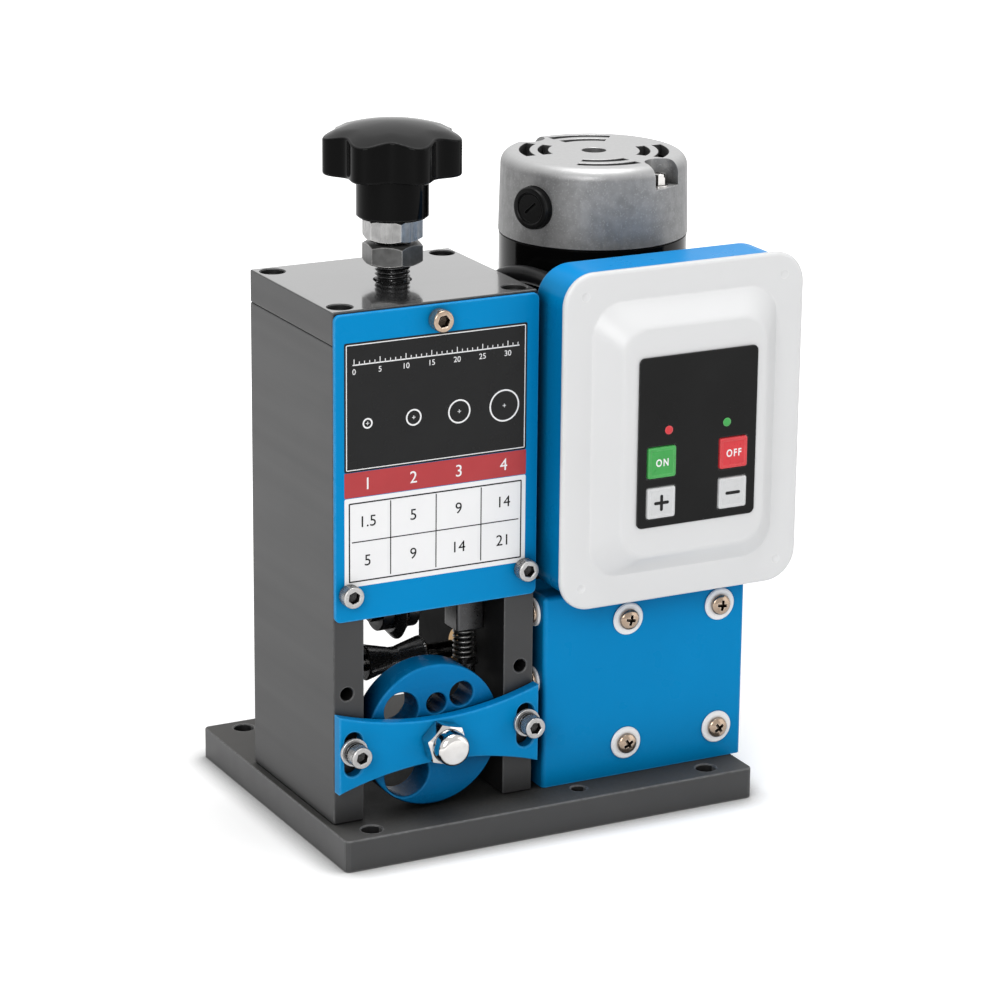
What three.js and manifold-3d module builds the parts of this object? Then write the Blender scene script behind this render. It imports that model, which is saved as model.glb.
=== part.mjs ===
// Cable stripping machine: a bench machine that pulls a cable between a driven feed roller and an
// adjustable cutter wheel. Millimetres, +X right, +Y back, +Z up, origin under the middle of the base.
import * as THREE from "three";
import { mergeVertices } from "three/addons/utils/BufferGeometryUtils.js";
import Module from "manifold-3d";

const wasm = await Module();
wasm.setup();

// Driving dimensions

const weld = 0.0005; // vertices nearer than this are one
const overrun = 2; // how far a cutting body passes its piece
const seat = 0.1; // between pieces that rest on or in each other
const play = 0.3; // between pieces that move past each other

const facets = { fine: 48, round: 24, small: 12, tiny: 8 }; // sides of round pieces
const roundSegments = 2; // half the steps in a rounded corner

const plate = { thick: 15 }; // the machined steel plates of the frame
const base = { width: 210, depth: 162 };
const baseHoles = {
  radius: 4.8,
  leftInset: 17,
  rightInset: 20,
  yInset: 9.5,
  slimRadius: 3.6,
  slimX: 19,
  slimInset: 12.6,
};
const tower = {
  width: 100,
  depth: 88,
  sideHeight: 222,
  leftInset: 3.5,
  frontInset: 20.5,
};
const m6 = { shank: 3, head: 5, headHeight: 6, flats: 5, socketDepth: 3.2 };
const m4 = {
  shank: 2,
  head: 4.3,
  headHeight: 2.7,
  crown: 0.34,
  crossLong: 4.6,
  crossWide: 1.2,
  crossDepth: 1.7,
};
const topScrew = { xInset: 7.5, yInset: 8.2, boreRadius: 5.6, boreDepth: 8, length: 18 };
const frontHole = { xInset: 6.6, bracketRise: 1.5, spareZ: 61.4, coverZ: 109, depth: 14 };
const frontCover = { thick: 2, bottomZ: 96.2, topDrop: 1, corner: 3, screwLength: 12 };

const bracket = {
  thick: 6,
  endHalf: 18.5,
  waistHalf: 10.2,
  slotInset: 6.8,
  slotLong: 21,
  slotWide: 8.5,
  edgeSteps: 12,
  screwLength: 22,
};
const washer = { radius: 6.4, thick: 1.6, springRadius: 5.2, springThick: 2 };
const drum = { sideGap: 1.5, bottomGap: 1.5, thick: 15, chamfer: 1, rim: 0.8, frontGap: 0.9 };
const drumHoleShares = [
  { radius: 0.3254, x: -0.394, z: -0.4985 },
  { radius: 0.2478, x: -0.4776, z: 0.4239 },
  { radius: 0.1433, x: 0.0478, z: 0.4418 },
  { radius: 0.1701, x: 0.4239, z: 0.5194 },
]; // of the drum's radius
const pivot = { radius: 5, flats: 17, headHeight: 6.4, boreDepth: 9 };
const acorn = {
  flats: 17.5,
  hexHeight: 8,
  height: 16.5,
  turn: 45,
  domeRadius: 7.9,
  straightTop: 12.2,
  bulge: 0.7,
  shoulderRadius: 6.4,
  crown: 0.5,
  flatRadius: 2.5,
};

const spindle = { radius: 8, collarStep: 2, collarHeight: 4, exposed: 7.8 };
const nut = { flats: 24, lockHeight: 9.4, jamHeight: 10, between: 1.6, lockTurn: 22.6, jamTurn: 20.6 };
const knob = {
  lobes: 7,
  tipRadius: 31.5,
  valleyRadius: 26,
  lobeHeight: 16.3,
  domeRise: 7,
  domeSteps: 3,
  hubRadius: 16.3,
  hubHeight: 19.8,
  boreDepth: 27,
  stepsPerLobe: 8,
  firstTip: -91.7,
};
const carriage = {
  depth: 60,
  axleDrop: 8,
  collarFloor: 3.1,
  neckDepth: 8,
  cheekThick: 6,
  cheekRadius: 11,
};
const cutter = { radius: 16, thick: 6, edge: 3, gap: 4.8, axleRadius: 4, headRadius: 6.5, headHeight: 3 };
const guideBolt = {
  xInset: 8,
  yInset: 24,
  bossWide: 14,
  bossDrop: 16,
  seatZ: 59.5,
  flangeRadius: 6.4,
  flangeThick: 1.5,
  holeDepth: 11,
};
const spring = { wire: 1.4, meanRadius: 4.7, turns: 5, stepsPerTurn: 8, sides: 5 };

const feed = {
  z: 58,
  shaftRadius: 4,
  rollerRadius: 8.5,
  grooveRadius: 5.2,
  grooveWide: 4,
  rollerWide: 30,
};
const bushing = { radius: 7, depth: 10, flangeRadius: 9, flangeThick: 1.5 };
const gearbox = { left: 8, front: 1.4, depth: 112.6, height: 89.5 };
const worm = {
  radius: 6.7,
  topZ: 78,
  bottomZ: 36,
  footZ: 24,
  wheelRadius: 18.3,
  wheelWide: 12,
  hubRadius: 9,
  hubLong: 3,
  wheelBevel: 1.5,
};
const gearPocket = { wide: 20, bottomRoom: 4, frontRoom: 4.7, backRoom: 4 };
const motor = {
  radius: 43.7,
  overhang: 3.1,
  wall: 4,
  topZ: 243.3,
  floorThick: 5,
  shaftRadius: 4.5,
  shaftTopZ: 272,
  rotorRadius: 27,
  airGap: 1,
  rotorBottomZ: 110,
  rotorHeight: 88,
};
const endCap = {
  overhang: 0.3,
  taper: 0.8,
  height: 37.4,
  fillet: 6,
  wall: 4,
  roof: 5,
  holeRadius: 5.3,
  innerSlot: 23.5,
  outerSlot: 32.3,
  slotWide: 3.6,
  slotHalfTurn: 26,
  slotTurn: -14.5,
  slotSteps: 4,
  notchRadius: 8.5,
  notchInset: 4,
  notchDepth: 11.4,
  notchTurn: -66.7,
  columnRadius: 11.5,
};
const brush = {
  turn: 23.3,
  z: 261,
  flangeRadius: 9.8,
  flangeThick: 4.6,
  plugRadius: 7.2,
  plugDepth: 9,
  recess: 0.8,
  discRadius: 7,
  discDrop: 0.8,
  slotLong: 8,
  slotWide: 1.3,
  slotDepth: 1.2,
};

const hood = {
  left: 5.2,
  rightGap: 5.1,
  front: -1,
  depth: 60,
  sheet: 2,
  bottomGap: 0.2,
  topGap: 0.8,
};
const hoodScrew = {
  nearX: 48.6,
  farX: 97.2,
  lowZ: 15.6,
  highZ: 76.4,
  sideY: 9,
  sideLowZ: 50,
  sideHighZ: 83,
  length: 10,
  washerRadius: 7,
  washerThick: 1.1,
};

const lid = {
  left: 3,
  width: 123,
  height: 156,
  rimFront: -20,
  rimThick: 2.8,
  corner: 15,
  raise: 10.5,
  wall: 2.4,
  margin: 14.3,
  slopeRun: 10.8,
  plateauCorner: 10,
};
const shell = { overhang: 1.7, depth: 29, wall: 2, corner: 16 };
const panel = { x: 65.5, rise: 78.2, width: 61, height: 79, thick: 0.8, corner: 2.7 };
const button = {
  size: 14.3,
  corner: 0.8,
  stand: 1,
  columnOffset: 18.5,
  upperDrop: 9.3,
  lowerDrop: 28.1,
  flange: 1,
  flangeThick: 1,
  stem: 1.4,
  travel: 0.8,
};
const board = {
  width: 96,
  height: 118,
  thick: 1.6,
  corner: 4,
  back: 18,
  switchWide: 7,
  postRadius: 3,
  postInset: 8,
};
const lead = {
  radius: 4,
  sides: 8,
  steps: 30,
  glandRadius: 7.5,
  glandTipRadius: 6,
  glandThick: 6,
  bossRadius: 6.2,
  bossHeight: 4,
  footDepth: 6,
  x: 24,
  z: 229,
  footY: 72,
  motorGap: 1.3,
};
const mains = {
  x: 102,
  rise: 14.5,
  flats: 16,
  hexHeight: 5,
  domeRadius: 7,
  domeHeight: 6,
  bore: 3.4,
  neck: 5.6,
  neckLong: 4,
};

// Places worked out from the driving dimensions

const deck = plate.thick; // top of the base plate
const towerLeft = -base.width / 2 + tower.leftInset;
const towerRight = towerLeft + tower.width;
const towerFront = -base.depth / 2 + tower.frontInset;
const towerBack = towerFront + tower.depth;
const towerMidX = (towerLeft + towerRight) / 2;
const towerMidY = (towerFront + towerBack) / 2;
const innerLeft = towerLeft + plate.thick;
const innerRight = towerRight - plate.thick;
const topPlateZ = deck + tower.sideHeight;
const towerTop = topPlateZ + plate.thick;
const halfTurn = 180;
const quarterTurn = halfTurn / 2;
const radians = (degrees) => (degrees * Math.PI) / halfTurn;

// Sizes given from the tower's right side, from its front and from the deck are turned into places here.
const besideX = (x) => towerRight + x;
const atY = (y) => towerFront + y;
const atZ = (z) => deck + z;

const drumRadius = tower.width / 2 - plate.thick - drum.sideGap;
const guideZ = drumRadius + drum.bottomGap; // middle of the drum and its bracket, from the deck
const cutterAxleZ = feed.z + feed.grooveRadius + cutter.gap + cutter.radius;
const collarRadius = spindle.radius + spindle.collarStep;
const collarRoom = spindle.collarHeight + 2 * play;
const carriageBottomZ = cutterAxleZ + carriage.axleDrop;
const wheelTop = cutter.radius - carriage.axleDrop + play; // the cutter's reach into the carriage
const carriageHeight = wheelTop + carriage.collarFloor + collarRoom + carriage.neckDepth;
const bossBottomZ = carriageBottomZ - guideBolt.bossDrop;
const coverTop = towerTop + 2 * seat - frontCover.topDrop;
const coverHeight = coverTop - atZ(frontCover.bottomZ);
const footX = gearbox.left + lead.bossRadius; // where the lead goes into the gearbox
const motorX = footX + lead.bossRadius + lead.motorGap + motor.radius;
const motorY = tower.depth / 2 + worm.wheelRadius + worm.radius + play;
const capRadius = motor.radius + endCap.overhang;
const capTopRadius = capRadius - endCap.taper;
const notchAt = capRadius - endCap.notchInset;
const gearboxWidth = motorX + motor.radius - motor.overhang - gearbox.left;
const hoodWidth = gearbox.left + gearboxWidth + hood.rightGap - hood.left;
const hoodHeight = gearbox.height + seat + hood.topGap + hood.sheet - hood.bottomGap;
const lidBottomZ = hood.bottomGap + hoodHeight + play - shell.overhang;
const panelZ = lidBottomZ + panel.rise;
const mainsZ = lidBottomZ + mains.rise;

// Shape helpers

function asSolid(geometry) {
  const bare = geometry.clone();
  bare.deleteAttribute("normal");
  bare.deleteAttribute("uv");
  const merged = mergeVertices(bare, weld);
  const vertProperties = Float32Array.from(merged.attributes.position.array);
  const triVerts = Uint32Array.from(merged.index.array);
  return new wasm.Manifold(new wasm.Mesh({ numProp: 3, vertProperties, triVerts }));
}

function asGeometry(solid) {
  const { vertProperties, triVerts, numProp } = solid.getMesh();
  const points = [];
  for (let i = 0; i < vertProperties.length; i += numProp) {
    points.push(vertProperties[i], vertProperties[i + 1], vertProperties[i + 2]);
  }
  const geometry = new THREE.BufferGeometry();
  geometry.setAttribute("position", new THREE.Float32BufferAttribute(points, 3));
  geometry.setIndex([...triVerts]);
  const shaded = geometry.toNonIndexed();
  shaded.computeVertexNormals();
  return shaded;
}

// A box that stands on z = 0 over the origin.
function block(width, depth, height) {
  return new THREE.BoxGeometry(width, depth, height).translate(0, 0, height / 2);
}

// A box given by its least corner and its size.
function blockAt(x, y, z, width, depth, height) {
  return block(width, depth, height).translate(x + width / 2, y + depth / 2, z);
}

// A round bar that stands on z = 0.
function bar(radius, height, sides) {
  const geometry = new THREE.CylinderGeometry(radius, radius, height, sides);
  return geometry.rotateX(Math.PI / 2).translate(0, 0, height / 2);
}

// A body turned about Z from [radius, height] pairs, listed upwards on the outside.
function turned(pairs, sides) {
  const points = pairs.map(([r, z]) => new THREE.Vector2(r, z));
  return new THREE.LatheGeometry(points, sides).rotateX(Math.PI / 2);
}

function prism(shape, height) {
  return new THREE.ExtrudeGeometry(shape, {
    depth: height,
    bevelEnabled: false,
    curveSegments: roundSegments,
  });
}

function polygon(points) {
  return new THREE.Shape(points.map(([x, y]) => new THREE.Vector2(x, y)));
}

function hexagon(flats, turn) {
  const corner = flats / 2 / Math.cos(Math.PI / 6);
  const points = [];
  for (let i = 0; i < 6; i += 1) {
    const angle = radians(turn) + (i * Math.PI) / 3;
    points.push([corner * Math.cos(angle), corner * Math.sin(angle)]);
  }
  return polygon(points);
}

// A rectangle about the origin with round corners.
function roundRect(width, height, corner) {
  const x = width / 2;
  const y = height / 2;
  const shape = new THREE.Shape();
  shape.moveTo(-x + corner, -y);
  shape.lineTo(x - corner, -y);
  shape.absarc(x - corner, -y + corner, corner, -Math.PI / 2, 0, false);
  shape.lineTo(x, y - corner);
  shape.absarc(x - corner, y - corner, corner, 0, Math.PI / 2, false);
  shape.lineTo(-x + corner, y);
  shape.absarc(-x + corner, y - corner, corner, Math.PI / 2, Math.PI, false);
  shape.lineTo(-x, -y + corner);
  shape.absarc(-x + corner, -y + corner, corner, Math.PI, (3 * Math.PI) / 2, false);
  return shape;
}

// Turns what is built upwards along Z to point at the front, the back, the right or the left.
const toFront = (geometry) => geometry.rotateX(Math.PI / 2);
const toBack = (geometry) => geometry.rotateX(-Math.PI / 2);
const toRight = (geometry) => geometry.rotateY(Math.PI / 2);
const toLeft = (geometry) => geometry.rotateY(-Math.PI / 2);

function cut(solid, ...geometries) {
  return geometries.reduce((left, geometry) => left.subtract(asSolid(geometry)), solid);
}

function join(solid, ...geometries) {
  return geometries.reduce((all, geometry) => all.add(asSolid(geometry)), solid);
}

function paint(color, roughness, metalness) {
  return () => new THREE.MeshStandardMaterial({ color, roughness, metalness });
}

const paints = {
  frame: paint(0x4a4a4b, 0.45, 0.3),
  blue: paint(0x0a7fc4, 0.35, 0.2),
  steel: paint(0xb9bbbd, 0.25, 0.9),
  darkSteel: paint(0x2b2b2d, 0.45, 0.8),
  blackPlastic: paint(0x111112, 0.25, 0),
  blackPaint: paint(0x0b0b0c, 0.2, 0.2),
  aluminium: paint(0x9a9b9c, 0.5, 0.8),
  bronze: paint(0xa9793a, 0.4, 0.9),
  castIron: paint(0x55575a, 0.7, 0.4),
  white: paint(0xf1f1f0, 0.5, 0),
  green: paint(0x3fa64a, 0.45, 0),
  red: paint(0xd8343a, 0.45, 0),
  board: paint(0x1f6b3a, 0.6, 0),
  brushedGrey: paint(0x8d8f91, 0.35, 0.9),
};

const model = new THREE.Group();

function place(name, body, material, x, y, z) {
  const geometry = body.isBufferGeometry ? body : asGeometry(body);
  const mesh = new THREE.Mesh(geometry, material());
  mesh.name = name;
  mesh.position.set(x, y, z);
  model.add(mesh);
  return mesh;
}

// Frame plates

function basePlate() {
  const holeX = [-base.width / 2 + baseHoles.leftInset, base.width / 2 - baseHoles.rightInset];
  const holeY = [-base.depth / 2 + baseHoles.yInset, base.depth / 2 - baseHoles.yInset];
  const drill = (radius, x, y) =>
    bar(radius, plate.thick + 2 * overrun, facets.small).translate(x, y, -overrun);
  let solid = asSolid(block(base.width, base.depth, plate.thick));
  for (const x of holeX) {
    for (const y of holeY) {
      solid = cut(solid, drill(baseHoles.radius, x, y));
    }
  }
  solid = cut(solid, drill(baseHoles.slimRadius, baseHoles.slimX, -base.depth / 2 + baseHoles.slimInset));
  place("base_plate", solid, paints.frame, 0, 0, 0);
}

// Tapped hole from the front face of a plate, at x and z in that plate's own frame.
function frontTap(x, z) {
  const length = frontHole.depth + overrun;
  return toBack(bar(m6.shank + seat, length, facets.tiny)).translate(x, -tower.depth / 2 - overrun, z);
}

function sidePlate(name, side) {
  const midX = side < 0 ? towerLeft + plate.thick / 2 : towerRight - plate.thick / 2;
  const frontX = side * (plate.thick / 2 - frontHole.xInset);
  let solid = asSolid(block(plate.thick, tower.depth, tower.sideHeight));
  const tapLength = topScrew.length - (plate.thick - topScrew.boreDepth) + seat;
  for (const end of [-1, 1]) {
    const y = end * (tower.depth / 2 - topScrew.yInset);
    const x = side * (plate.thick / 2 - topScrew.xInset);
    const tap = bar(m6.shank + seat, tapLength + overrun, facets.tiny);
    solid = cut(solid, tap.translate(x, y, tower.sideHeight - tapLength));
  }
  for (const z of [guideZ + frontHole.bracketRise, frontHole.spareZ, frontHole.coverZ]) {
    solid = cut(solid, frontTap(frontX, z));
  }
  const isBlind = side < 0;
  const boreLength = (isBlind ? bushing.depth + seat : plate.thick + overrun) + overrun;
  const bore = toLeft(bar(bushing.radius + seat, boreLength, facets.round));
  const start = -side * (plate.thick / 2 + overrun);
  const turnedBore = isBlind ? bore : bore.rotateZ(Math.PI);
  solid = cut(solid, turnedBore.translate(start, 0, feed.z));
  place(name, solid, paints.frame, midX, towerMidY, deck + seat);
}

function topPlate() {
  let solid = asSolid(block(tower.width, tower.depth, plate.thick));
  const spindleHole = bar(spindle.radius + play, plate.thick + 2 * overrun, facets.round);
  solid = cut(solid, spindleHole.translate(0, 0, -overrun));
  for (const [x, y] of topScrewPlaces()) {
    const shaft = bar(m6.shank + seat, plate.thick + 2 * overrun, facets.tiny).translate(x, y, -overrun);
    const bore = bar(topScrew.boreRadius, topScrew.boreDepth + overrun, facets.small);
    solid = cut(solid, shaft, bore.translate(x, y, plate.thick - topScrew.boreDepth));
  }
  for (const [x, y] of guideBoltPlaces()) {
    const hole = bar(m6.shank + seat, guideBolt.holeDepth + overrun, facets.small);
    solid = cut(solid, hole.translate(x, y, -overrun));
  }
  solid = cut(solid, frontTap(0, plate.thick / 2));
  place("top_plate", solid, paints.frame, towerMidX, towerMidY, topPlateZ + 2 * seat);
}

// Places from the tower's middle.
function topScrewPlaces() {
  const x = tower.width / 2 - topScrew.xInset;
  const y = tower.depth / 2 - topScrew.yInset;
  return [
    [-x, -y],
    [x, -y],
    [-x, y],
    [x, y],
  ];
}

function guideBoltPlaces() {
  const x = tower.width / 2 - plate.thick - guideBolt.xInset;
  const y = tower.depth / 2 - guideBolt.yInset;
  return [
    [x, -y],
    [-x, y],
  ];
}

// Fasteners, built with the underside of the head on z = 0 and the shank below it

function capScrew(length) {
  const body = asSolid(bar(m6.head, m6.headHeight, facets.small));
  const shank = bar(m6.shank, length + seat, facets.tiny).translate(0, 0, -length);
  const socket = prism(hexagon(m6.flats, 0), m6.socketDepth + overrun);
  return cut(join(body, shank), socket.translate(0, 0, m6.headHeight - m6.socketDepth));
}

// Pan head screw with a cross recess, on its own plastic washer.
function panScrew(length) {
  const top = hoodScrew.washerThick + m4.headHeight;
  const shoulder = hoodScrew.washerThick + m4.headHeight / 2;
  const profile = [
    [0, -length],
    [m4.shank, -length],
    [m4.shank, 0],
    [hoodScrew.washerRadius, 0],
    [hoodScrew.washerRadius, hoodScrew.washerThick],
    [m4.head, hoodScrew.washerThick],
    [m4.head, shoulder],
    [(m4.head + m4.shank) / 2, top - m4.crown],
    [0, top],
  ];
  const solid = asSolid(turned(profile, facets.small));
  const arm = block(m4.crossLong, m4.crossWide, m4.crossDepth + overrun);
  const other = block(m4.crossWide, m4.crossLong, m4.crossDepth + overrun);
  const floor = top - m4.crossDepth;
  return cut(solid, arm.translate(0, 0, floor), other.translate(0, 0, floor));
}

function hexNut(flats, height, bore, turn) {
  const corner = flats / 2 / Math.cos(Math.PI / 6);
  const bevel = (corner - flats / 2) / 2;
  const profile = [
    [0, 0],
    [corner - 2 * bevel, 0],
    [corner + bevel, bevel * 2],
    [corner + bevel, height - bevel * 2],
    [corner - 2 * bevel, height],
    [0, height],
  ];
  const hex = asSolid(prism(hexagon(flats, turn), height));
  const solid = hex.intersect(asSolid(turned(profile, facets.round)));
  return cut(solid, bar(bore, height + 2 * overrun, facets.round).translate(0, 0, -overrun));
}

function topPlateScrews() {
  topScrewPlaces().forEach(([x, y], i) => {
    const z = topPlateZ + 2 * seat + plate.thick - topScrew.boreDepth + seat;
    const body = capScrew(topScrew.length);
    place(`top_plate_screw_${i + 1}`, body, paints.darkSteel, towerMidX + x, towerMidY + y, z);
  });
}

// Front cover sheet with its three screws

function coverScrewPlaces() {
  const x = tower.width / 2 - frontHole.xInset;
  const middle = coverTop - coverHeight / 2;
  const low = atZ(frontHole.coverZ) + seat - middle;
  const high = topPlateZ + 2 * seat + plate.thick / 2 - middle;
  return [
    [0, high],
    [-x, low],
    [x, low],
  ];
}

function frontCoverSheet() {
  const midZ = coverTop - coverHeight / 2;
  const shape = roundRect(tower.width, coverHeight, frontCover.corner);
  let solid = asSolid(toFront(prism(shape, frontCover.thick)));
  for (const [x, z] of coverScrewPlaces()) {
    const hole = toFront(bar(m6.shank + seat, frontCover.thick + 2 * overrun, facets.tiny));
    solid = cut(solid, hole.translate(x, overrun, z));
  }
  place("front_cover", solid, paints.blue, towerMidX, towerFront - seat, midZ);
  coverScrewPlaces().forEach(([x, z], i) => {
    const y = towerFront - 2 * seat - frontCover.thick;
    const body = capScrew(frontCover.screwLength);
    const screw = place(`front_cover_screw_${i + 1}`, body, paints.steel, towerMidX + x, y, midZ + z);
    screw.rotation.x = Math.PI / 2;
  });
}

// Cable guide: bracket with two slots, and the drum that turns on its middle bolt

function bracketShape() {
  const half = tower.width / 2;
  const sag = bracket.endHalf - bracket.waistHalf;
  const radius = (half * half + sag * sag) / (2 * sag);
  const edge = (x) => bracket.waistHalf + radius - Math.sqrt(radius * radius - x * x);
  const points = [];
  for (let i = 0; i <= bracket.edgeSteps; i += 1) {
    const x = -half + (tower.width * i) / bracket.edgeSteps;
    points.push([x, -edge(x)]);
  }
  for (let i = bracket.edgeSteps; i >= 0; i -= 1) {
    const x = -half + (tower.width * i) / bracket.edgeSteps;
    points.push([x, edge(x)]);
  }
  return polygon(points);
}

function slotShape() {
  return roundRect(bracket.slotWide, bracket.slotLong, bracket.slotWide / 2 - weld);
}

function guideBracket() {
  const reach = bracket.thick + 2 * overrun;
  let solid = asSolid(toFront(prism(bracketShape(), bracket.thick)));
  for (const side of [-1, 1]) {
    const x = side * (tower.width / 2 - bracket.slotInset);
    solid = cut(solid, toFront(prism(slotShape(), reach)).translate(x, overrun, 0));
  }
  solid = cut(solid, toFront(bar(pivot.radius + seat, reach, facets.round)).translate(0, overrun, 0));
  const y = towerFront - play;
  place("guide_bracket", solid, paints.blue, towerMidX, y, atZ(guideZ));
  for (const [side, word] of [
    [-1, "left"],
    [1, "right"],
  ]) {
    const x = towerMidX + side * (tower.width / 2 - frontHole.xInset);
    const z = atZ(guideZ + frontHole.bracketRise) + seat;
    const washerY = y - bracket.thick - play;
    const stack = toFront(turned(washerProfile(), facets.small));
    place(`bracket_washer_${word}`, stack, paints.steel, x, washerY, z);
    const headY = washerY - washer.thick - washer.springThick - seat;
    const screw = place(`bracket_screw_${word}`, capScrew(bracket.screwLength), paints.steel, x, headY, z);
    screw.rotation.x = Math.PI / 2;
  }
}

// Flat washer with the spring washer on it, as one ring.
function washerProfile() {
  const bore = m6.shank + seat;
  const top = washer.thick + washer.springThick;
  return [
    [bore, 0],
    [washer.radius, 0],
    [washer.radius, washer.thick],
    [washer.springRadius, washer.thick],
    [washer.springRadius, top],
    [bore, top],
    [bore, 0],
  ];
}

function guideDrum() {
  const profile = [
    [0, 0],
    [drumRadius - drum.chamfer, 0],
    [drumRadius, drum.chamfer],
    [drumRadius, drum.thick - drum.chamfer],
    [drumRadius - drum.chamfer, drum.thick],
    [0, drum.thick],
  ];
  let solid = asSolid(toFront(turned(profile, facets.fine)));
  for (const shares of drumHoleShares) {
    const radius = shares.radius * drumRadius;
    const x = shares.x * drumRadius;
    const z = shares.z * drumRadius;
    const reach = drum.thick + 2 * overrun;
    const hole = toFront(bar(radius, reach, facets.round)).translate(x, overrun, z);
    const rim = turned(
      [
        [0, -drum.rim],
        [radius, -drum.rim],
        [radius + drum.rim, 0],
        [radius + drum.rim, overrun],
        [0, overrun],
      ],
      facets.round,
    );
    solid = cut(solid, hole, toFront(rim).translate(x, -drum.thick, z));
  }
  const bore = toFront(bar(pivot.radius + seat, drum.thick + 2 * overrun, facets.round));
  solid = cut(solid, bore.translate(0, overrun, 0));
  const frontY = towerFront + drum.frontGap;
  const backY = frontY + drum.thick;
  place("guide_drum", solid, paints.blue, towerMidX, backY, atZ(guideZ));

  const nutY = towerFront - play - bracket.thick - seat;
  const boltY = backY + play;
  const boltLength = boltY - nutY + pivot.boreDepth - play;
  const head = asSolid(prism(hexagon(pivot.flats, 0), pivot.headHeight));
  const bolt = join(head, bar(pivot.radius, boltLength + seat, facets.round).translate(0, 0, -boltLength));
  const boltMesh = place("drum_pivot_bolt", bolt, paints.steel, towerMidX, boltY, atZ(guideZ));
  boltMesh.rotation.x = -Math.PI / 2;

  const nutMesh = place("drum_acorn_nut", acornNut(), paints.steel, towerMidX, nutY, atZ(guideZ));
  nutMesh.rotation.x = Math.PI / 2;
}

function acornNut() {
  const dome = turned(
    [
      [0, acorn.hexHeight - overrun],
      [acorn.domeRadius, acorn.hexHeight - overrun],
      [acorn.domeRadius, acorn.straightTop],
      [acorn.domeRadius - acorn.bulge, (acorn.straightTop + acorn.height) / 2],
      [acorn.shoulderRadius, acorn.height - acorn.crown],
      [acorn.flatRadius, acorn.height],
      [0, acorn.height],
    ],
    facets.round,
  );
  const solid = join(asSolid(prism(hexagon(acorn.flats, acorn.turn), acorn.hexHeight)), dome);
  const bore = bar(pivot.radius + seat, pivot.boreDepth + overrun, facets.round);
  return cut(solid, bore.translate(0, 0, -overrun));
}

// Cutting head: knob, spindle, nuts, carriage, cutter wheel, guide bolts and springs

const carriageTopZ = atZ(carriageBottomZ) + carriageHeight;
const collarZ = carriageTopZ - carriage.neckDepth - spindle.collarHeight - play;
const lockNutZ = towerTop + 2 * seat + spindle.exposed;
const jamNutZ = lockNutZ + nut.lockHeight + nut.between;
const knobZ = jamNutZ + nut.jamHeight + seat;

function knobShape() {
  const points = [];
  const steps = knob.lobes * knob.stepsPerLobe;
  for (let i = 0; i < steps; i += 1) {
    const turn = (i / steps) * 2 * Math.PI;
    const wave = (1 + Math.cos(knob.lobes * turn)) / 2;
    const radius = knob.valleyRadius + (knob.tipRadius - knob.valleyRadius) * wave;
    const angle = turn + radians(knob.firstTip);
    points.push([radius * Math.cos(angle), radius * Math.sin(angle)]);
  }
  return polygon(points);
}

function depthKnob() {
  const star = prism(knobShape(), knob.lobeHeight + knob.domeRise).translate(0, 0, knob.hubHeight);
  const shoulder = knob.hubHeight + knob.lobeHeight;
  const edge = knob.tipRadius + overrun;
  const profile = [
    [0, knob.hubHeight - overrun],
    [edge, knob.hubHeight - overrun],
    [edge, shoulder],
  ];
  for (let i = 1; i <= knob.domeSteps; i += 1) {
    const share = i / knob.domeSteps;
    profile.push([edge * (1 - share), shoulder + knob.domeRise * (1 - (1 - share) ** 2)]);
  }
  const head = asSolid(star).intersect(asSolid(turned(profile, facets.fine)));
  const hub = bar(knob.hubRadius, knob.hubHeight + overrun, facets.round);
  const bore = bar(spindle.radius + seat, knob.boreDepth + overrun, facets.round).translate(0, 0, -overrun);
  place("depth_knob", cut(join(head, hub), bore), paints.blackPlastic, towerMidX, towerMidY, knobZ);
}

function depthSpindle() {
  const height = knobZ + knob.boreDepth - play - collarZ;
  const profile = [
    [0, 0],
    [collarRadius, 0],
    [collarRadius, spindle.collarHeight],
    [spindle.radius, spindle.collarHeight],
    [spindle.radius, height],
    [0, height],
  ];
  const rod = turned(profile, facets.round);
  place("depth_spindle", rod, paints.darkSteel, towerMidX, towerMidY, collarZ);
  const bore = spindle.radius + seat;
  const jam = hexNut(nut.flats, nut.jamHeight, bore, nut.jamTurn);
  place("knob_jam_nut", jam, paints.steel, towerMidX, towerMidY, jamNutZ);
  const lock = hexNut(nut.flats, nut.lockHeight, bore, nut.lockTurn);
  place("spindle_lock_nut", lock, paints.steel, towerMidX, towerMidY, lockNutZ);
}

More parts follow.
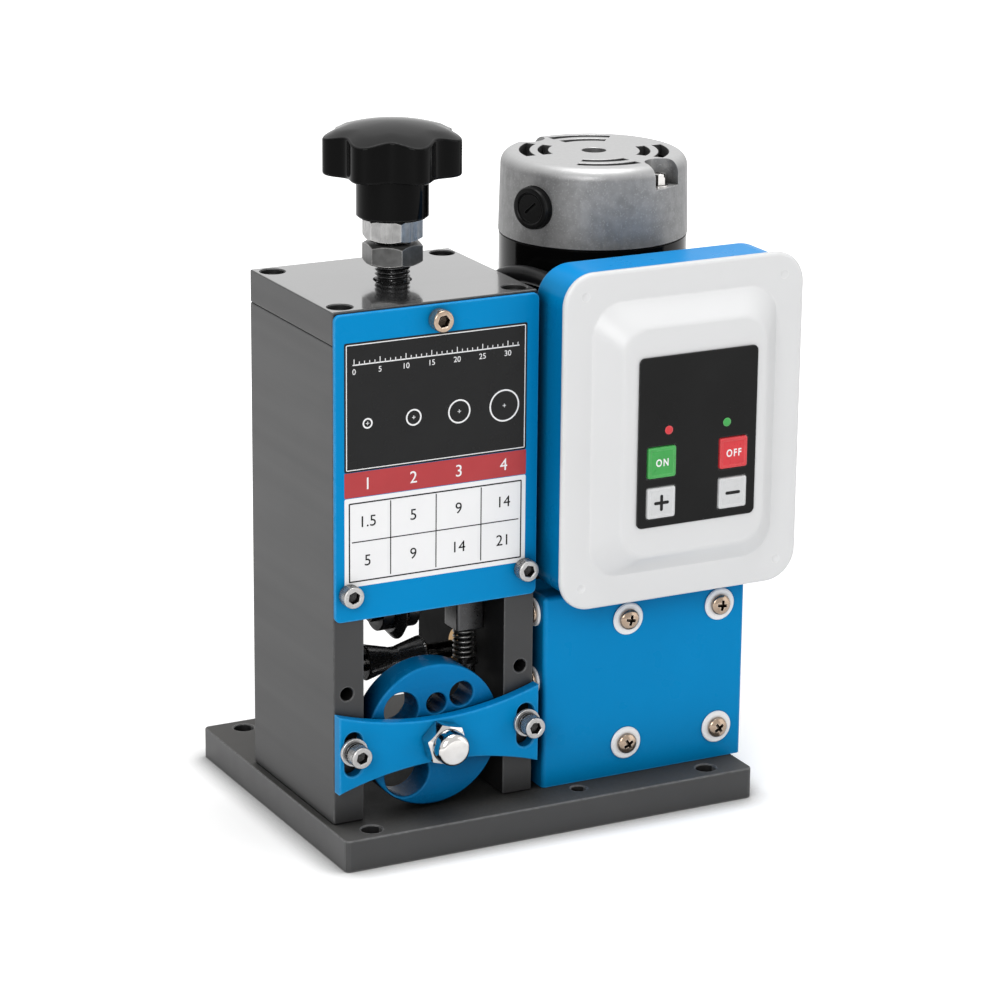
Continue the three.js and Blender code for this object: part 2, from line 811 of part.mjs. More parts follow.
function cutterCarriage() {
  const width = innerRight - innerLeft - 2 * play;
  const axle = -carriage.axleDrop;
  let solid = asSolid(block(width, carriage.depth, carriageHeight));
  for (const side of [-1, 1]) {
    const x = side * (cutter.thick / 2 + play + carriage.cheekThick / 2);
    const arm = block(carriage.cheekThick, 2 * carriage.cheekRadius, overrun - axle).translate(x, 0, axle);
    const foot = toRight(bar(carriage.cheekRadius, carriage.cheekThick, facets.round));
    solid = join(solid, arm, foot.translate(x - carriage.cheekThick / 2, 0, axle));
  }
  const drop = guideBolt.bossDrop;
  for (const [x, y] of guideBoltPlaces()) {
    const wide = guideBolt.bossWide;
    solid = join(solid, block(wide, wide, drop + overrun).translate(x, y, -drop));
    const reach = drop + carriageHeight + 2 * overrun;
    solid = cut(solid, bar(m6.shank + play, reach, facets.small).translate(x, y, -drop - overrun));
  }
  const slotWide = cutter.thick + 2 * play;
  const slotTop = axle + cutter.radius + play;
  solid = cut(
    solid,
    block(slotWide, 2 * (cutter.radius + play), slotTop + overrun).translate(0, 0, -overrun),
    toRight(bar(cutter.axleRadius + seat, width, facets.small)).translate(-width / 2, 0, axle),
  );
  const slotBack = carriage.depth / 2 + overrun;
  const neck = spindle.radius + play;
  const collar = collarRadius + play;
  const neckZ = carriageHeight - carriage.neckDepth;
  const neckHeight = carriage.neckDepth + overrun;
  const pocketZ = neckZ - collarRoom;
  solid = cut(
    solid,
    bar(neck, neckHeight, facets.round).translate(0, 0, neckZ),
    blockAt(-neck, 0, neckZ, 2 * neck, slotBack, neckHeight),
    bar(collar, collarRoom, facets.round).translate(0, 0, pocketZ),
    blockAt(-collar, 0, pocketZ, 2 * collar, slotBack, collarRoom),
  );
  place("cutter_carriage", solid, paints.brushedGrey, towerMidX, towerMidY, atZ(carriageBottomZ));
}

function cutterWheel() {
  const land = cutter.radius - cutter.edge;
  const bore = cutter.axleRadius + seat;
  const profile = [
    [bore, 0],
    [land, 0],
    [cutter.radius, cutter.thick / 2],
    [land, cutter.thick],
    [bore, cutter.thick],
    [bore, 0],
  ];
  const wheel = toRight(turned(profile, facets.round));
  place("cutter_wheel", wheel, paints.darkSteel, towerMidX - cutter.thick / 2, towerMidY, atZ(cutterAxleZ));
  const outer = cutter.thick / 2 + play + carriage.cheekThick + seat;
  const head = asSolid(bar(cutter.headRadius, cutter.headHeight, facets.small));
  const shank = bar(cutter.axleRadius, 2 * outer + seat, facets.small).translate(0, 0, -2 * outer);
  const socket = prism(hexagon(m6.flats, 0), cutter.headHeight);
  const solid = cut(join(head, shank), socket.translate(0, 0, cutter.headHeight / 2));
  const axle = place("cutter_axle", solid, paints.darkSteel, towerMidX - outer, towerMidY, atZ(cutterAxleZ));
  axle.rotation.y = -Math.PI / 2;
}

function guideBolts() {
  const words = ["right", "left"];
  guideBoltPlaces().forEach(([x, y], i) => {
    const top = topPlateZ + 2 * seat + guideBolt.holeDepth - seat;
    const seatTop = atZ(guideBolt.seatZ);
    const flange = bar(guideBolt.flangeRadius, guideBolt.flangeThick, facets.small);
    const head = bar(m6.head, m6.headHeight + seat, facets.small).translate(0, 0, -m6.headHeight);
    const shank = bar(m6.shank, top - seatTop + guideBolt.flangeThick, facets.small);
    const socket = prism(hexagon(m6.flats, 0), m6.socketDepth + overrun);
    const solid = join(asSolid(flange), head, shank);
    const bolt = cut(solid, socket.translate(0, 0, -m6.headHeight - overrun));
    const z = seatTop - guideBolt.flangeThick;
    place(`guide_bolt_${words[i]}`, bolt, paints.darkSteel, towerMidX + x, towerMidY + y, z);
    const length = atZ(bossBottomZ) - seatTop - 2 * play;
    const body = coil(length);
    place(`return_spring_${words[i]}`, body, paints.steel, towerMidX + x, towerMidY + y, seatTop + play);
  });
}

// Centre line of the spring: a straight end, the helix, and a straight end.
function coilPoints(length) {
  const lift = spring.wire;
  const rise = length - 2 * lift;
  const steps = spring.turns * spring.stepsPerTurn;
  const points = [new THREE.Vector3(spring.meanRadius, 0, 0)];
  for (let i = 0; i <= steps; i += 1) {
    const angle = (i / spring.stepsPerTurn) * 2 * Math.PI;
    const x = spring.meanRadius * Math.cos(angle);
    const y = spring.meanRadius * Math.sin(angle);
    points.push(new THREE.Vector3(x, y, lift + (rise * i) / steps));
  }
  points.push(new THREE.Vector3(spring.meanRadius, 0, length));
  return points;
}

// The least distance between turns, from the points of the centre line that are half a turn or more apart.
function coilGap(points) {
  const apart = Math.ceil(spring.stepsPerTurn / 2);
  let least = Infinity;
  for (let i = 0; i < points.length; i += 1) {
    for (let j = i + apart; j < points.length; j += 1) {
      least = Math.min(least, points[i].distanceTo(points[j]));
    }
  }
  return least - spring.wire;
}

function coil(length) {
  const line = coilPoints(length);
  console.log(`return spring: least gap between turns ${coilGap(line).toFixed(2)} mm`);
  const rings = line.map((point, i) => {
    const before = line[Math.max(i - 1, 0)];
    const after = line[Math.min(i + 1, line.length - 1)];
    const along = after.clone().sub(before).normalize();
    const outward = new THREE.Vector3(point.x, point.y, 0).normalize();
    const side = outward.clone().sub(along.clone().multiplyScalar(outward.dot(along))).normalize();
    const up = along.clone().cross(side);
    const ring = [];
    for (let k = 0; k < spring.sides; k += 1) {
      const angle = (k / spring.sides) * 2 * Math.PI;
      const across = side.clone().multiplyScalar(Math.cos(angle));
      const reach = across.add(up.clone().multiplyScalar(Math.sin(angle)));
      ring.push(point.clone().add(reach.multiplyScalar(spring.wire / 2)));
    }
    return ring;
  });
  const positions = rings.flat().flatMap((p) => [p.x, p.y, p.z]);
  const index = [];
  const at = (i, k) => i * spring.sides + (k % spring.sides);
  for (let i = 0; i + 1 < rings.length; i += 1) {
    for (let k = 0; k < spring.sides; k += 1) {
      index.push(at(i, k), at(i, k + 1), at(i + 1, k));
      index.push(at(i, k + 1), at(i + 1, k + 1), at(i + 1, k));
    }
  }
  for (let k = 1; k + 1 < spring.sides; k += 1) {
    index.push(at(0, 0), at(0, k + 1), at(0, k));
    index.push(at(rings.length - 1, 0), at(rings.length - 1, k), at(rings.length - 1, k + 1));
  }
  const geometry = new THREE.BufferGeometry();
  geometry.setAttribute("position", new THREE.Float32BufferAttribute(positions, 3));
  geometry.setIndex(index);
  geometry.computeVertexNormals();
  return geometry;
}

// Feed: roller on a shaft that runs in two bushings to the worm wheel in the gearbox

const wheelX = besideX(motorX);
const shaftLeft = towerLeft + plate.thick - bushing.depth + play;
const shaftRight = wheelX + worm.wheelWide;

function feedTrain() {
  const y = towerMidY;
  const z = atZ(feed.z) + seat;
  const shaft = toRight(bar(feed.shaftRadius, shaftRight - shaftLeft, facets.small));
  place("feed_shaft", shaft, paints.steel, shaftLeft, y, z);

  const bore = feed.shaftRadius + seat;
  const flank = (feed.rollerWide - feed.grooveWide) / 2;
  const roller = [
    [bore, 0],
    [feed.rollerRadius, 0],
    [feed.grooveRadius, flank],
    [feed.grooveRadius, flank + feed.grooveWide],
    [feed.rollerRadius, feed.rollerWide],
    [bore, feed.rollerWide],
    [bore, 0],
  ];
  const rollerBody = toRight(turned(roller, facets.round));
  place("feed_roller", rollerBody, paints.darkSteel, towerMidX - feed.rollerWide / 2, y, z);

  for (const [side, word] of [
    [-1, "left"],
    [1, "right"],
  ]) {
    const long = side < 0 ? bushing.depth : plate.thick;
    const ring = [
      [feed.shaftRadius + play, -long],
      [bushing.radius, -long],
      [bushing.radius, seat],
      [bushing.flangeRadius, seat],
      [bushing.flangeRadius, seat + bushing.flangeThick],
      [feed.shaftRadius + play, seat + bushing.flangeThick],
      [feed.shaftRadius + play, -long],
    ];
    const x = side < 0 ? innerLeft : innerRight;
    const body = turned(ring, facets.small);
    place(`shaft_bushing_${word}`, side < 0 ? toRight(body) : toLeft(body), paints.bronze, x, y, z);
  }

  const wheel = asSolid(toRight(turned(wheelProfile(), facets.round)));
  place("worm_wheel", wheel, paints.bronze, wheelX - worm.wheelWide / 2, y, z);
}

function wheelProfile() {
  const bore = feed.shaftRadius + seat;
  const waist = worm.wheelRadius - worm.wheelBevel;
  return [
    [bore, -worm.hubLong],
    [worm.hubRadius, -worm.hubLong],
    [worm.hubRadius, 0],
    [worm.wheelRadius, 0],
    [waist, worm.wheelWide / 2],
    [worm.wheelRadius, worm.wheelWide],
    [bore, worm.wheelWide],
    [bore, -worm.hubLong],
  ];
}

function gearboxHousing() {
  const midX = besideX(gearbox.left) + gearboxWidth / 2;
  const midY = atY(gearbox.front) + gearbox.depth / 2;
  const z = deck + seat;
  let solid = asSolid(block(gearboxWidth, gearbox.depth, gearbox.height));
  const bossX = besideX(footX) - midX;
  const bossY = atY(lead.footY) - midY;
  const bossHeight = gearbox.height + lead.bossHeight;
  const boss = bar(lead.bossRadius, bossHeight, facets.small).translate(bossX, bossY, 0);
  const wellDepth = lead.bossHeight + lead.footDepth;
  const well = bar(lead.radius + play, wellDepth, facets.small);
  solid = cut(join(solid, boss), well.translate(bossX, bossY, gearbox.height - lead.footDepth));
  const pocketFront = towerMidY - worm.wheelRadius - gearPocket.frontRoom - midY;
  const pocketLong = atY(motorY) + worm.radius + gearPocket.backRoom - midY - pocketFront;
  const pocketZ = worm.footZ - gearPocket.bottomRoom;
  const pocketHigh = gearbox.height - pocketZ + overrun;
  const pocketX = wheelX - midX - gearPocket.wide / 2;
  const pocket = blockAt(pocketX, pocketFront, pocketZ, gearPocket.wide, pocketLong, pocketHigh);
  solid = cut(solid, pocket);
  const boreEnd = shaftRight + play - midX;
  const shaftBore = toLeft(bar(feed.shaftRadius + play, gearboxWidth / 2 + boreEnd + overrun, facets.small));
  solid = cut(solid, shaftBore.translate(boreEnd, towerMidY - midY, feed.z));
  for (const x of [hoodScrew.nearX, hoodScrew.farX]) {
    for (const screwZ of [hoodScrew.lowZ, hoodScrew.highZ]) {
      const tap = toBack(bar(m4.shank + seat, hoodScrew.length + overrun, facets.small));
      solid = cut(solid, tap.translate(besideX(x) - midX, -gearbox.depth / 2 - overrun, screwZ));
    }
  }
  for (const screwZ of [hoodScrew.sideLowZ, hoodScrew.sideHighZ]) {
    const tap = toRight(bar(m4.shank + seat, hoodScrew.length + overrun, facets.small));
    solid = cut(solid, tap.translate(-gearboxWidth / 2 - overrun, atY(hoodScrew.sideY) - midY, screwZ));
  }
  place("gearbox_housing", solid, paints.castIron, midX, midY, z);
}

// Motor on top of the gearbox

const motorFloorZ = deck + 2 * seat + gearbox.height;

function motorBarrel() {
  const top = atZ(motor.topZ) - motorFloorZ;
  const inner = motor.radius - motor.wall;
  const hole = motor.shaftRadius + play;
  const statorBore = motor.rotorRadius + motor.airGap;
  const statorTop = atZ(motor.rotorBottomZ + motor.rotorHeight) - motorFloorZ;
  const profile = [
    [hole, 0],
    [motor.radius, 0],
    [motor.radius, top],
    [inner, top],
    [inner, statorTop],
    [statorBore, statorTop],
    [statorBore, motor.floorThick],
    [hole, motor.floorThick],
    [hole, 0],
  ];
  const barrel = turned(profile, facets.fine);
  place("motor_barrel", barrel, paints.blackPaint, besideX(motorX), atY(motorY), motorFloorZ);
}

function motorRotor() {
  const foot = worm.footZ;
  const rotorTop = motor.rotorBottomZ + motor.rotorHeight;
  const profile = [
    [0, foot],
    [motor.shaftRadius, foot],
    [motor.shaftRadius, worm.bottomZ],
    [worm.radius, worm.bottomZ],
    [worm.radius, worm.topZ],
    [motor.shaftRadius, worm.topZ],
    [motor.shaftRadius, motor.rotorBottomZ],
    [motor.rotorRadius, motor.rotorBottomZ],
    [motor.rotorRadius, rotorTop],
    [motor.shaftRadius, rotorTop],
    [motor.shaftRadius, motor.shaftTopZ],
    [0, motor.shaftTopZ],
  ];
  place("motor_worm_shaft", turned(profile, facets.round), paints.steel, besideX(motorX), atY(motorY), deck);
}

function polar(radius, degrees) {
  return [radius * Math.cos(radians(degrees)), radius * Math.sin(radians(degrees))];
}

// A slot along a circle, as a flat shape.
function arcSlot(radius, wide, middle) {
  const points = [];
  for (const [edge, from] of [
    [radius - wide / 2, -1],
    [radius + wide / 2, 1],
  ]) {
    for (let i = 0; i <= endCap.slotSteps; i += 1) {
      const share = (2 * i) / endCap.slotSteps - 1;
      points.push(polar(edge, middle - from * share * endCap.slotHalfTurn));
    }
  }
  return polygon(points.reverse());
}

function motorEndCap() {
  const bend = endCap.fillet * (1 - Math.SQRT1_2);
  const outside = turned(
    [
      [0, 0],
      [capRadius, 0],
      [capTopRadius, endCap.height - endCap.fillet],
      [capTopRadius - bend, endCap.height - bend],
      [capTopRadius - endCap.fillet, endCap.height],
      [0, endCap.height],
    ],
    facets.fine,
  );
  const inner = capRadius - endCap.wall;
  const cavityHeight = endCap.height - endCap.roof + overrun;
  let cavity = asSolid(bar(inner, cavityHeight, facets.fine).translate(0, 0, -overrun));
  for (const end of [0, halfTurn]) {
    const [x, y] = polar(notchAt, endCap.notchTurn + end);
    const column = bar(endCap.columnRadius, cavityHeight + 2 * overrun, facets.round);
    cavity = cut(cavity, column.translate(x, y, -2 * overrun));
  }
  let solid = asSolid(outside).subtract(cavity);
  const roofCut = endCap.roof + 2 * overrun;
  const roofZ = endCap.height - endCap.roof - overrun;
  solid = cut(solid, bar(endCap.holeRadius, roofCut, facets.small).translate(0, 0, roofZ));
  for (let turn = endCap.slotTurn; turn < 2 * halfTurn + endCap.slotTurn; turn += quarterTurn) {
    for (const radius of [endCap.innerSlot, endCap.outerSlot]) {
      const slot = prism(arcSlot(radius, endCap.slotWide, turn), roofCut);
      solid = cut(solid, slot.translate(0, 0, roofZ));
    }
  }
  for (const end of [0, halfTurn]) {
    const [x, y] = polar(notchAt, endCap.notchTurn + end);
    const notch = bar(endCap.notchRadius, endCap.notchDepth + overrun, facets.small);
    const mouthLong = endCap.notchRadius + overrun;
    const mouth = blockAt(
      0,
      -endCap.notchRadius,
      0,
      mouthLong,
      2 * endCap.notchRadius,
      endCap.notchDepth + overrun,
    ).rotateZ(radians(endCap.notchTurn + end));
    const floor = endCap.height - endCap.notchDepth;
    solid = cut(solid, notch.translate(x, y, floor), mouth.translate(x, y, floor));
  }
  const capZ = atZ(motor.topZ) + seat;
  for (const end of [0, halfTurn]) {
    const turn = radians(brush.turn + end);
    const face = capTopRadius - brush.recess;
    const hole = toRight(bar(brush.plugRadius + seat, capRadius, facets.round));
    const flat = toRight(bar(brush.flangeRadius + play, capRadius, facets.round)).translate(face, 0, 0);
    const z = atZ(brush.z) - capZ;
    const from = capRadius - 2 * endCap.wall;
    solid = cut(solid, hole.translate(from, 0, 0).rotateZ(turn).translate(0, 0, z));
    solid = cut(solid, flat.rotateZ(turn).translate(0, 0, z));
  }
  place("motor_end_cap", solid, paints.aluminium, besideX(motorX), atY(motorY), capZ);

  for (const [end, word] of [
    [halfTurn, "left"],
    [0, "right"],
  ]) {
    const turn = radians(brush.turn + end);
    const face = capTopRadius - brush.recess + seat;
    const x = besideX(motorX) + face * Math.cos(turn);
    const y = atY(motorY) + face * Math.sin(turn);
    const body = toRight(asGeometry(brushCap()));
    const cap = place(`brush_cap_${word}`, body, paints.blackPlastic, x, y, atZ(brush.z));
    cap.rotation.z = turn;
  }
}

function brushCap() {
  const top = brush.flangeThick;
  const profile = [
    [0, -brush.plugDepth],
    [brush.plugRadius, -brush.plugDepth],
    [brush.plugRadius, 0],
    [brush.flangeRadius, 0],
    [brush.flangeRadius, top - brush.discDrop],
    [brush.flangeRadius - brush.discDrop, top],
    [brush.discRadius, top],
    [brush.discRadius, top - brush.discDrop],
    [0, top - brush.discDrop],
  ];
  const slot = block(brush.slotWide, brush.slotLong, brush.slotDepth + overrun);
  const floor = top - brush.discDrop - brush.slotDepth;
  return cut(asSolid(turned(profile, facets.round)), slot.translate(0, 0, floor));
}

// Sheet hood in front of the gearbox

function gearboxHood() {
  const z = deck + hood.bottomGap;
  const midX = besideX(hood.left) + hoodWidth / 2;
  const inner = hoodWidth - 2 * hood.sheet;
  let solid = asSolid(blockAt(-hoodWidth / 2, 0, 0, hoodWidth, hood.depth, hoodHeight));
  const roomHeight = hoodHeight - hood.sheet + overrun;
  const room = blockAt(-inner / 2, hood.sheet, -overrun, inner, hood.depth, roomHeight);
  const motorRoom = blockAt(
    -inner / 2,
    motorY - motor.radius - hood.front - play,
    -overrun,
    inner,
    hood.depth,
    hoodHeight + 2 * overrun,
  );
  const shaftHole = toLeft(bar(bushing.radius, hoodWidth, facets.small));
  solid = cut(solid, room, motorRoom, shaftHole.translate(0, towerMidY - atY(hood.front), atZ(feed.z) - z));
  const reach = hood.sheet + 2 * overrun;
  const taps = [];
  for (const x of [hoodScrew.nearX, hoodScrew.farX]) {
    for (const screwZ of [hoodScrew.lowZ, hoodScrew.highZ]) {
      taps.push([x, screwZ]);
    }
  }
  const screwZAt = (screwZ) => deck + seat + screwZ;
  for (const [x, screwZ] of taps) {
    const hole = toBack(bar(m4.shank + seat, reach, facets.small));
    solid = cut(solid, hole.translate(besideX(x) - midX, -overrun, screwZAt(screwZ) - z));
  }
  for (const screwZ of [hoodScrew.sideLowZ, hoodScrew.sideHighZ]) {
    const hole = toRight(bar(m4.shank + seat, reach, facets.small));
    const y = hoodScrew.sideY - hood.front;
    solid = cut(solid, hole.translate(-hoodWidth / 2 - overrun, y, screwZAt(screwZ) - z));
  }
  place("gearbox_cover", solid, paints.blue, midX, atY(hood.front), z);

  const frontLength = hoodScrew.length + gearbox.front - hood.front - seat;
  taps.forEach(([x, screwZ], i) => {
    const y = atY(hood.front) - seat;
    const body = panScrew(frontLength);
    const screw = place(`gearbox_cover_screw_${i + 1}`, body, paints.steel, besideX(x), y, screwZAt(screwZ));
    screw.rotation.x = Math.PI / 2;
  });
  const sideLength = hoodScrew.length + gearbox.left - hood.left - seat;
  [hoodScrew.sideLowZ, hoodScrew.sideHighZ].forEach((screwZ, i) => {
    const x = besideX(hood.left) - seat;
    const y = atY(hoodScrew.sideY);
    const body = panScrew(sideLength);
    const screw = place(`gearbox_cover_side_screw_${i + 1}`, body, paints.steel, x, y, screwZAt(screwZ));
    screw.rotation.y = -Math.PI / 2;
  });
}

// Control box: shell, lid, panel, buttons, board, glands and the lead to the motor

const lidMidX = besideX(lid.left) + lid.width / 2;
const lidMidZ = atZ(lidBottomZ) + lid.height / 2;
const rimFrontY = atY(lid.rimFront);
const shellFrontY = rimFrontY + lid.rimThick + seat;
const shellBackY = shellFrontY + shell.depth;
const panelY = rimFrontY - lid.raise - seat;

function controlShell() {
  const width = lid.width - 2 * shell.overhang;
  const height = lid.height - 2 * shell.overhang;
  const outer = toFront(prism(roundRect(width, height, shell.corner), shell.depth));
  const innerWidth = width - 2 * shell.wall;
  const innerHeight = height - 2 * shell.wall;
  const room = prism(roundRect(innerWidth, innerHeight, shell.corner - shell.wall), shell.depth);
  let solid = cut(asSolid(outer), toFront(room).translate(0, -shell.wall, 0));
  const reach = shell.wall + 2 * overrun;
  const leadHole = toFront(bar(lead.radius + play, reach, facets.small));
  const mainsHole = toFront(bar(mains.neck + seat, reach, facets.small));
  solid = cut(
    solid,
    leadHole.translate(besideX(lead.x) - lidMidX, overrun, atZ(lead.z) - lidMidZ),
    mainsHole.translate(besideX(mains.x) - lidMidX, overrun, atZ(mainsZ) - lidMidZ),
  );
  place("control_shell", solid, paints.blue, lidMidX, shellBackY, lidMidZ);
}

// The lid's raised middle, or the room inside it: a rounded rectangle that narrows as it rises.
// Its foot stands the lid's margin and the given wall inside the rim.
function raisedMiddle(wall, height) {
  const wide = lid.width - 2 * (lid.margin + wall);
  const high = lid.height - 2 * (lid.margin + wall);
  const geometry = prism(roundRect(wide, high, lid.plateauCorner - wall), height);
  const points = geometry.attributes.position;
  for (let i = 0; i < points.count; i += 1) {
    if (points.getZ(i) > height / 2) {
      points.setX(i, points.getX(i) * (1 - (2 * lid.slopeRun) / wide));
      points.setY(i, points.getY(i) * (1 - (2 * lid.slopeRun) / high));
    }
  }
  return geometry;
}

function buttonPlaces() {
  const x = button.columnOffset;
  return [
    ["on_button", -x, -button.upperDrop, paints.green],
    ["off_button", x, -button.upperDrop, paints.red],
    ["plus_button", -x, -button.lowerDrop, paints.white],
    ["minus_button", x, -button.lowerDrop, paints.white],
  ];
}

function windowCut(depth) {
  const size = button.size + 2 * play;
  return prism(roundRect(size, size, button.corner), depth);
}

function controlLid() {
  const total = lid.rimThick + lid.raise;
  const rim = prism(roundRect(lid.width, lid.height, lid.corner), lid.rimThick);
  const raised = raisedMiddle(0, lid.raise).translate(0, 0, lid.rimThick);
  const room = raisedMiddle(lid.wall, lid.raise).translate(0, 0, lid.rimThick - lid.wall);
  const mouthWide = lid.width - 2 * (lid.margin + lid.wall);
  const mouthHigh = lid.height - 2 * (lid.margin + lid.wall);
  const mouthDepth = lid.rimThick - lid.wall + overrun;
  const mouth = prism(roundRect(mouthWide, mouthHigh, lid.plateauCorner - lid.wall), mouthDepth);
  let solid = cut(join(asSolid(rim), raised), room, mouth.translate(0, 0, -overrun));
  for (const [, x, z] of buttonPlaces()) {
    const window = windowCut(total + overrun);
    solid = cut(solid, window.translate(besideX(panel.x) + x - lidMidX, atZ(panelZ) + z - lidMidZ, 0));
  }
  place("control_lid", toFront(asGeometry(solid)), paints.white, lidMidX, rimFrontY + lid.rimThick, lidMidZ);
}

function membranePanel() {
  let solid = asSolid(prism(roundRect(panel.width, panel.height, panel.corner), panel.thick));
  for (const [, x, z] of buttonPlaces()) {
    solid = cut(solid, windowCut(panel.thick + 2 * overrun).translate(x, z, -overrun));
  }
  const body = toFront(asGeometry(solid));
  place("membrane_panel", body, paints.blackPlastic, besideX(panel.x), panelY, atZ(panelZ));
}

// Where the back of a button's flange lies at rest.
const buttonBackY = panelY + seat + lid.wall + play + button.flangeThick + button.stem;

function controlButtons() {
  for (const [name, x, z, material] of buttonPlaces()) {
    const frontY = panelY - panel.thick - button.stand;
    const height = buttonBackY - frontY;
    const wide = button.size + 2 * button.flange;
    const cap = prism(roundRect(button.size, button.size, button.corner), height);
    const flange = prism(roundRect(wide, wide, button.corner), button.flangeThick);
    const body = toFront(asGeometry(join(asSolid(cap), flange.translate(0, 0, button.stem))));
    place(name, body, material, besideX(panel.x) + x, buttonBackY, atZ(panelZ) + z);
  }
}

function controlBoard() {
  const backY = shellBackY - shell.wall;
  const boardY = backY - board.back;
  let solid = asSolid(prism(roundRect(board.width, board.height, board.corner), board.thick));
  const switchHeight = boardY - board.thick - buttonBackY - button.travel - play;
  for (const [, x, z] of buttonPlaces()) {
    const switchBody = block(board.switchWide, board.switchWide, switchHeight + seat);
    const across = besideX(panel.x) + x - lidMidX;
    const up = atZ(panelZ) + z - lidMidZ;
    solid = join(solid, switchBody.translate(across, up, board.thick - seat));
  }
  for (const sideX of [-1, 1]) {
    for (const sideZ of [-1, 1]) {
      const post = bar(board.postRadius, board.back - play + seat, facets.tiny);
      const x = sideX * (board.width / 2 - board.postInset);
      const y = sideZ * (board.height / 2 - board.postInset);
      solid = join(solid, post.translate(x, y, play - board.back));
    }
  }
  place("control_board", toFront(asGeometry(solid)), paints.board, lidMidX, boardY, lidMidZ);
}

// The lead's route, chosen by hand: out of the back of the control box, over beside the tower's
// top, and down between the tower and the motor to the gearbox, where its wires go up to the motor.
function leadPoints() {
  return [
    [lead.x, 10.6, lead.z],
    [lead.x, 17.5, lead.z],
    [23.4, 27, 230.2],
    [21.3, 37.5, 231.5],
    [17, 47.6, 231.8],
    [12, 56, 229.4],
    [9, 62.4, 223],
    [8.1, 67, 213],
    [8.8, 70, 200],
    [10.6, 71.6, 184],
    [12.6, lead.footY, 166],
    [13.8, lead.footY, 148],
    [footX, lead.footY, 130],
    [footX, lead.footY, 110],
    [footX, lead.footY, 85.2],
  ].map(([x, y, z]) => new THREE.Vector3(besideX(x), atY(y), atZ(z)));
}

function motorLead() {
  const section = [];
  for (let i = 0; i < lead.sides; i += 1) {
    const [x, y] = polar(lead.radius, (i * 2 * halfTurn) / lead.sides);
    section.push([x, y]);
  }
  const curve = new THREE.CatmullRomCurve3(leadPoints(), false, "centripetal");
  const tube = new THREE.ExtrudeGeometry(polygon(section), { steps: lead.steps, extrudePath: curve });
  place("motor_lead", asSolid(tube), paints.blackPlastic, 0, 0, 0);
  const ring = [
    [lead.radius + play, 0],
    [lead.glandRadius, 0],
    [lead.glandRadius, lead.glandThick / 2],
    [lead.glandTipRadius, lead.glandThick],
    [lead.radius + play, lead.glandThick],
    [lead.radius + play, 0],
  ];
  const gland = toBack(turned(ring, facets.small));
  place("lead_gland", gland, paints.blackPlastic, besideX(lead.x), shellBackY + seat, atZ(lead.z));
}

function mainsGland() {
  const profile = [
    [0, -mains.neckLong],
    [mains.neck, -mains.neckLong],
    [mains.neck, 0],
    [mains.domeRadius, 0],
    [mains.domeRadius, mains.hexHeight],
    [mains.bore + seat, mains.hexHeight + mains.domeHeight],
    [0, mains.hexHeight + mains.domeHeight],
  ];
  const solid = join(asSolid(turned(profile, facets.small)), prism(hexagon(mains.flats, 0), mains.hexHeight));
  const long = mains.neckLong + mains.hexHeight + mains.domeHeight + 2 * overrun;
  const bored = cut(solid, bar(mains.bore, long, facets.small).translate(0, 0, -mains.neckLong - overrun));
  const body = toBack(asGeometry(bored));
  place("mains_gland", body, paints.blackPlastic, besideX(mains.x), shellBackY + seat, atZ(mainsZ));
}

basePlate();
sidePlate("left_side_plate", -1);
sidePlate("right_side_plate", 1);
topPlate();
topPlateScrews();
frontCoverSheet();
guideBracket();
guideDrum();
depthKnob();
depthSpindle();
cutterCarriage();
cutterWheel();
guideBolts();
feedTrain();
gearboxHousing();
motorBarrel();
motorRotor();
motorEndCap();
gearboxHood();
controlShell();
controlLid();
membranePanel();
controlButtons();
controlBoard();
motorLead();
mainsGland();

export default model;
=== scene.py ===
import math
import bpy
import bmesh
from types import SimpleNamespace
from mathutils import Matrix, Vector
from mathutils.geometry import tessellate_polygon


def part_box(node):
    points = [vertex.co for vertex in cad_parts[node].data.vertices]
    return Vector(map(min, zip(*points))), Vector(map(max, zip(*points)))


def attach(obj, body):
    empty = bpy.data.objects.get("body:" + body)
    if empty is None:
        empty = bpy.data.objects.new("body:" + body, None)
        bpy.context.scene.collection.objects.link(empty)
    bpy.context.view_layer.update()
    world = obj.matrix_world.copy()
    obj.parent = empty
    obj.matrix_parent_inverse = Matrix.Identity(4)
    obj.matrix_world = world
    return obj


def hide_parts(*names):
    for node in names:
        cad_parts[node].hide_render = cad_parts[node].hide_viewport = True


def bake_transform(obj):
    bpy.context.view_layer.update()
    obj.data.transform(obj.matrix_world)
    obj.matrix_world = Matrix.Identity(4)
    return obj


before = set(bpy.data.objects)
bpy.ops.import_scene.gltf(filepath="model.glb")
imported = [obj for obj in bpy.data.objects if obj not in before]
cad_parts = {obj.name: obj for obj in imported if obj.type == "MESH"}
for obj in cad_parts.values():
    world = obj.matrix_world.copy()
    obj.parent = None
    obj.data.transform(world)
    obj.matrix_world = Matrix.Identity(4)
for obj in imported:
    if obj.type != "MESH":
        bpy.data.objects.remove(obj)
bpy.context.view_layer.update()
mm = 0.001
pi = math.pi
print("frame loaded")

# camera: solved from the straight edges of the tower and the base

cameraView = {
    "target": (0.0120, -0.0005, 0.1361),
    "azimuth": -27.47,
    "elevation": 17.20,
    "roll": 0.57,
    "distance": 1.752,
    "lens": 135.3,
}


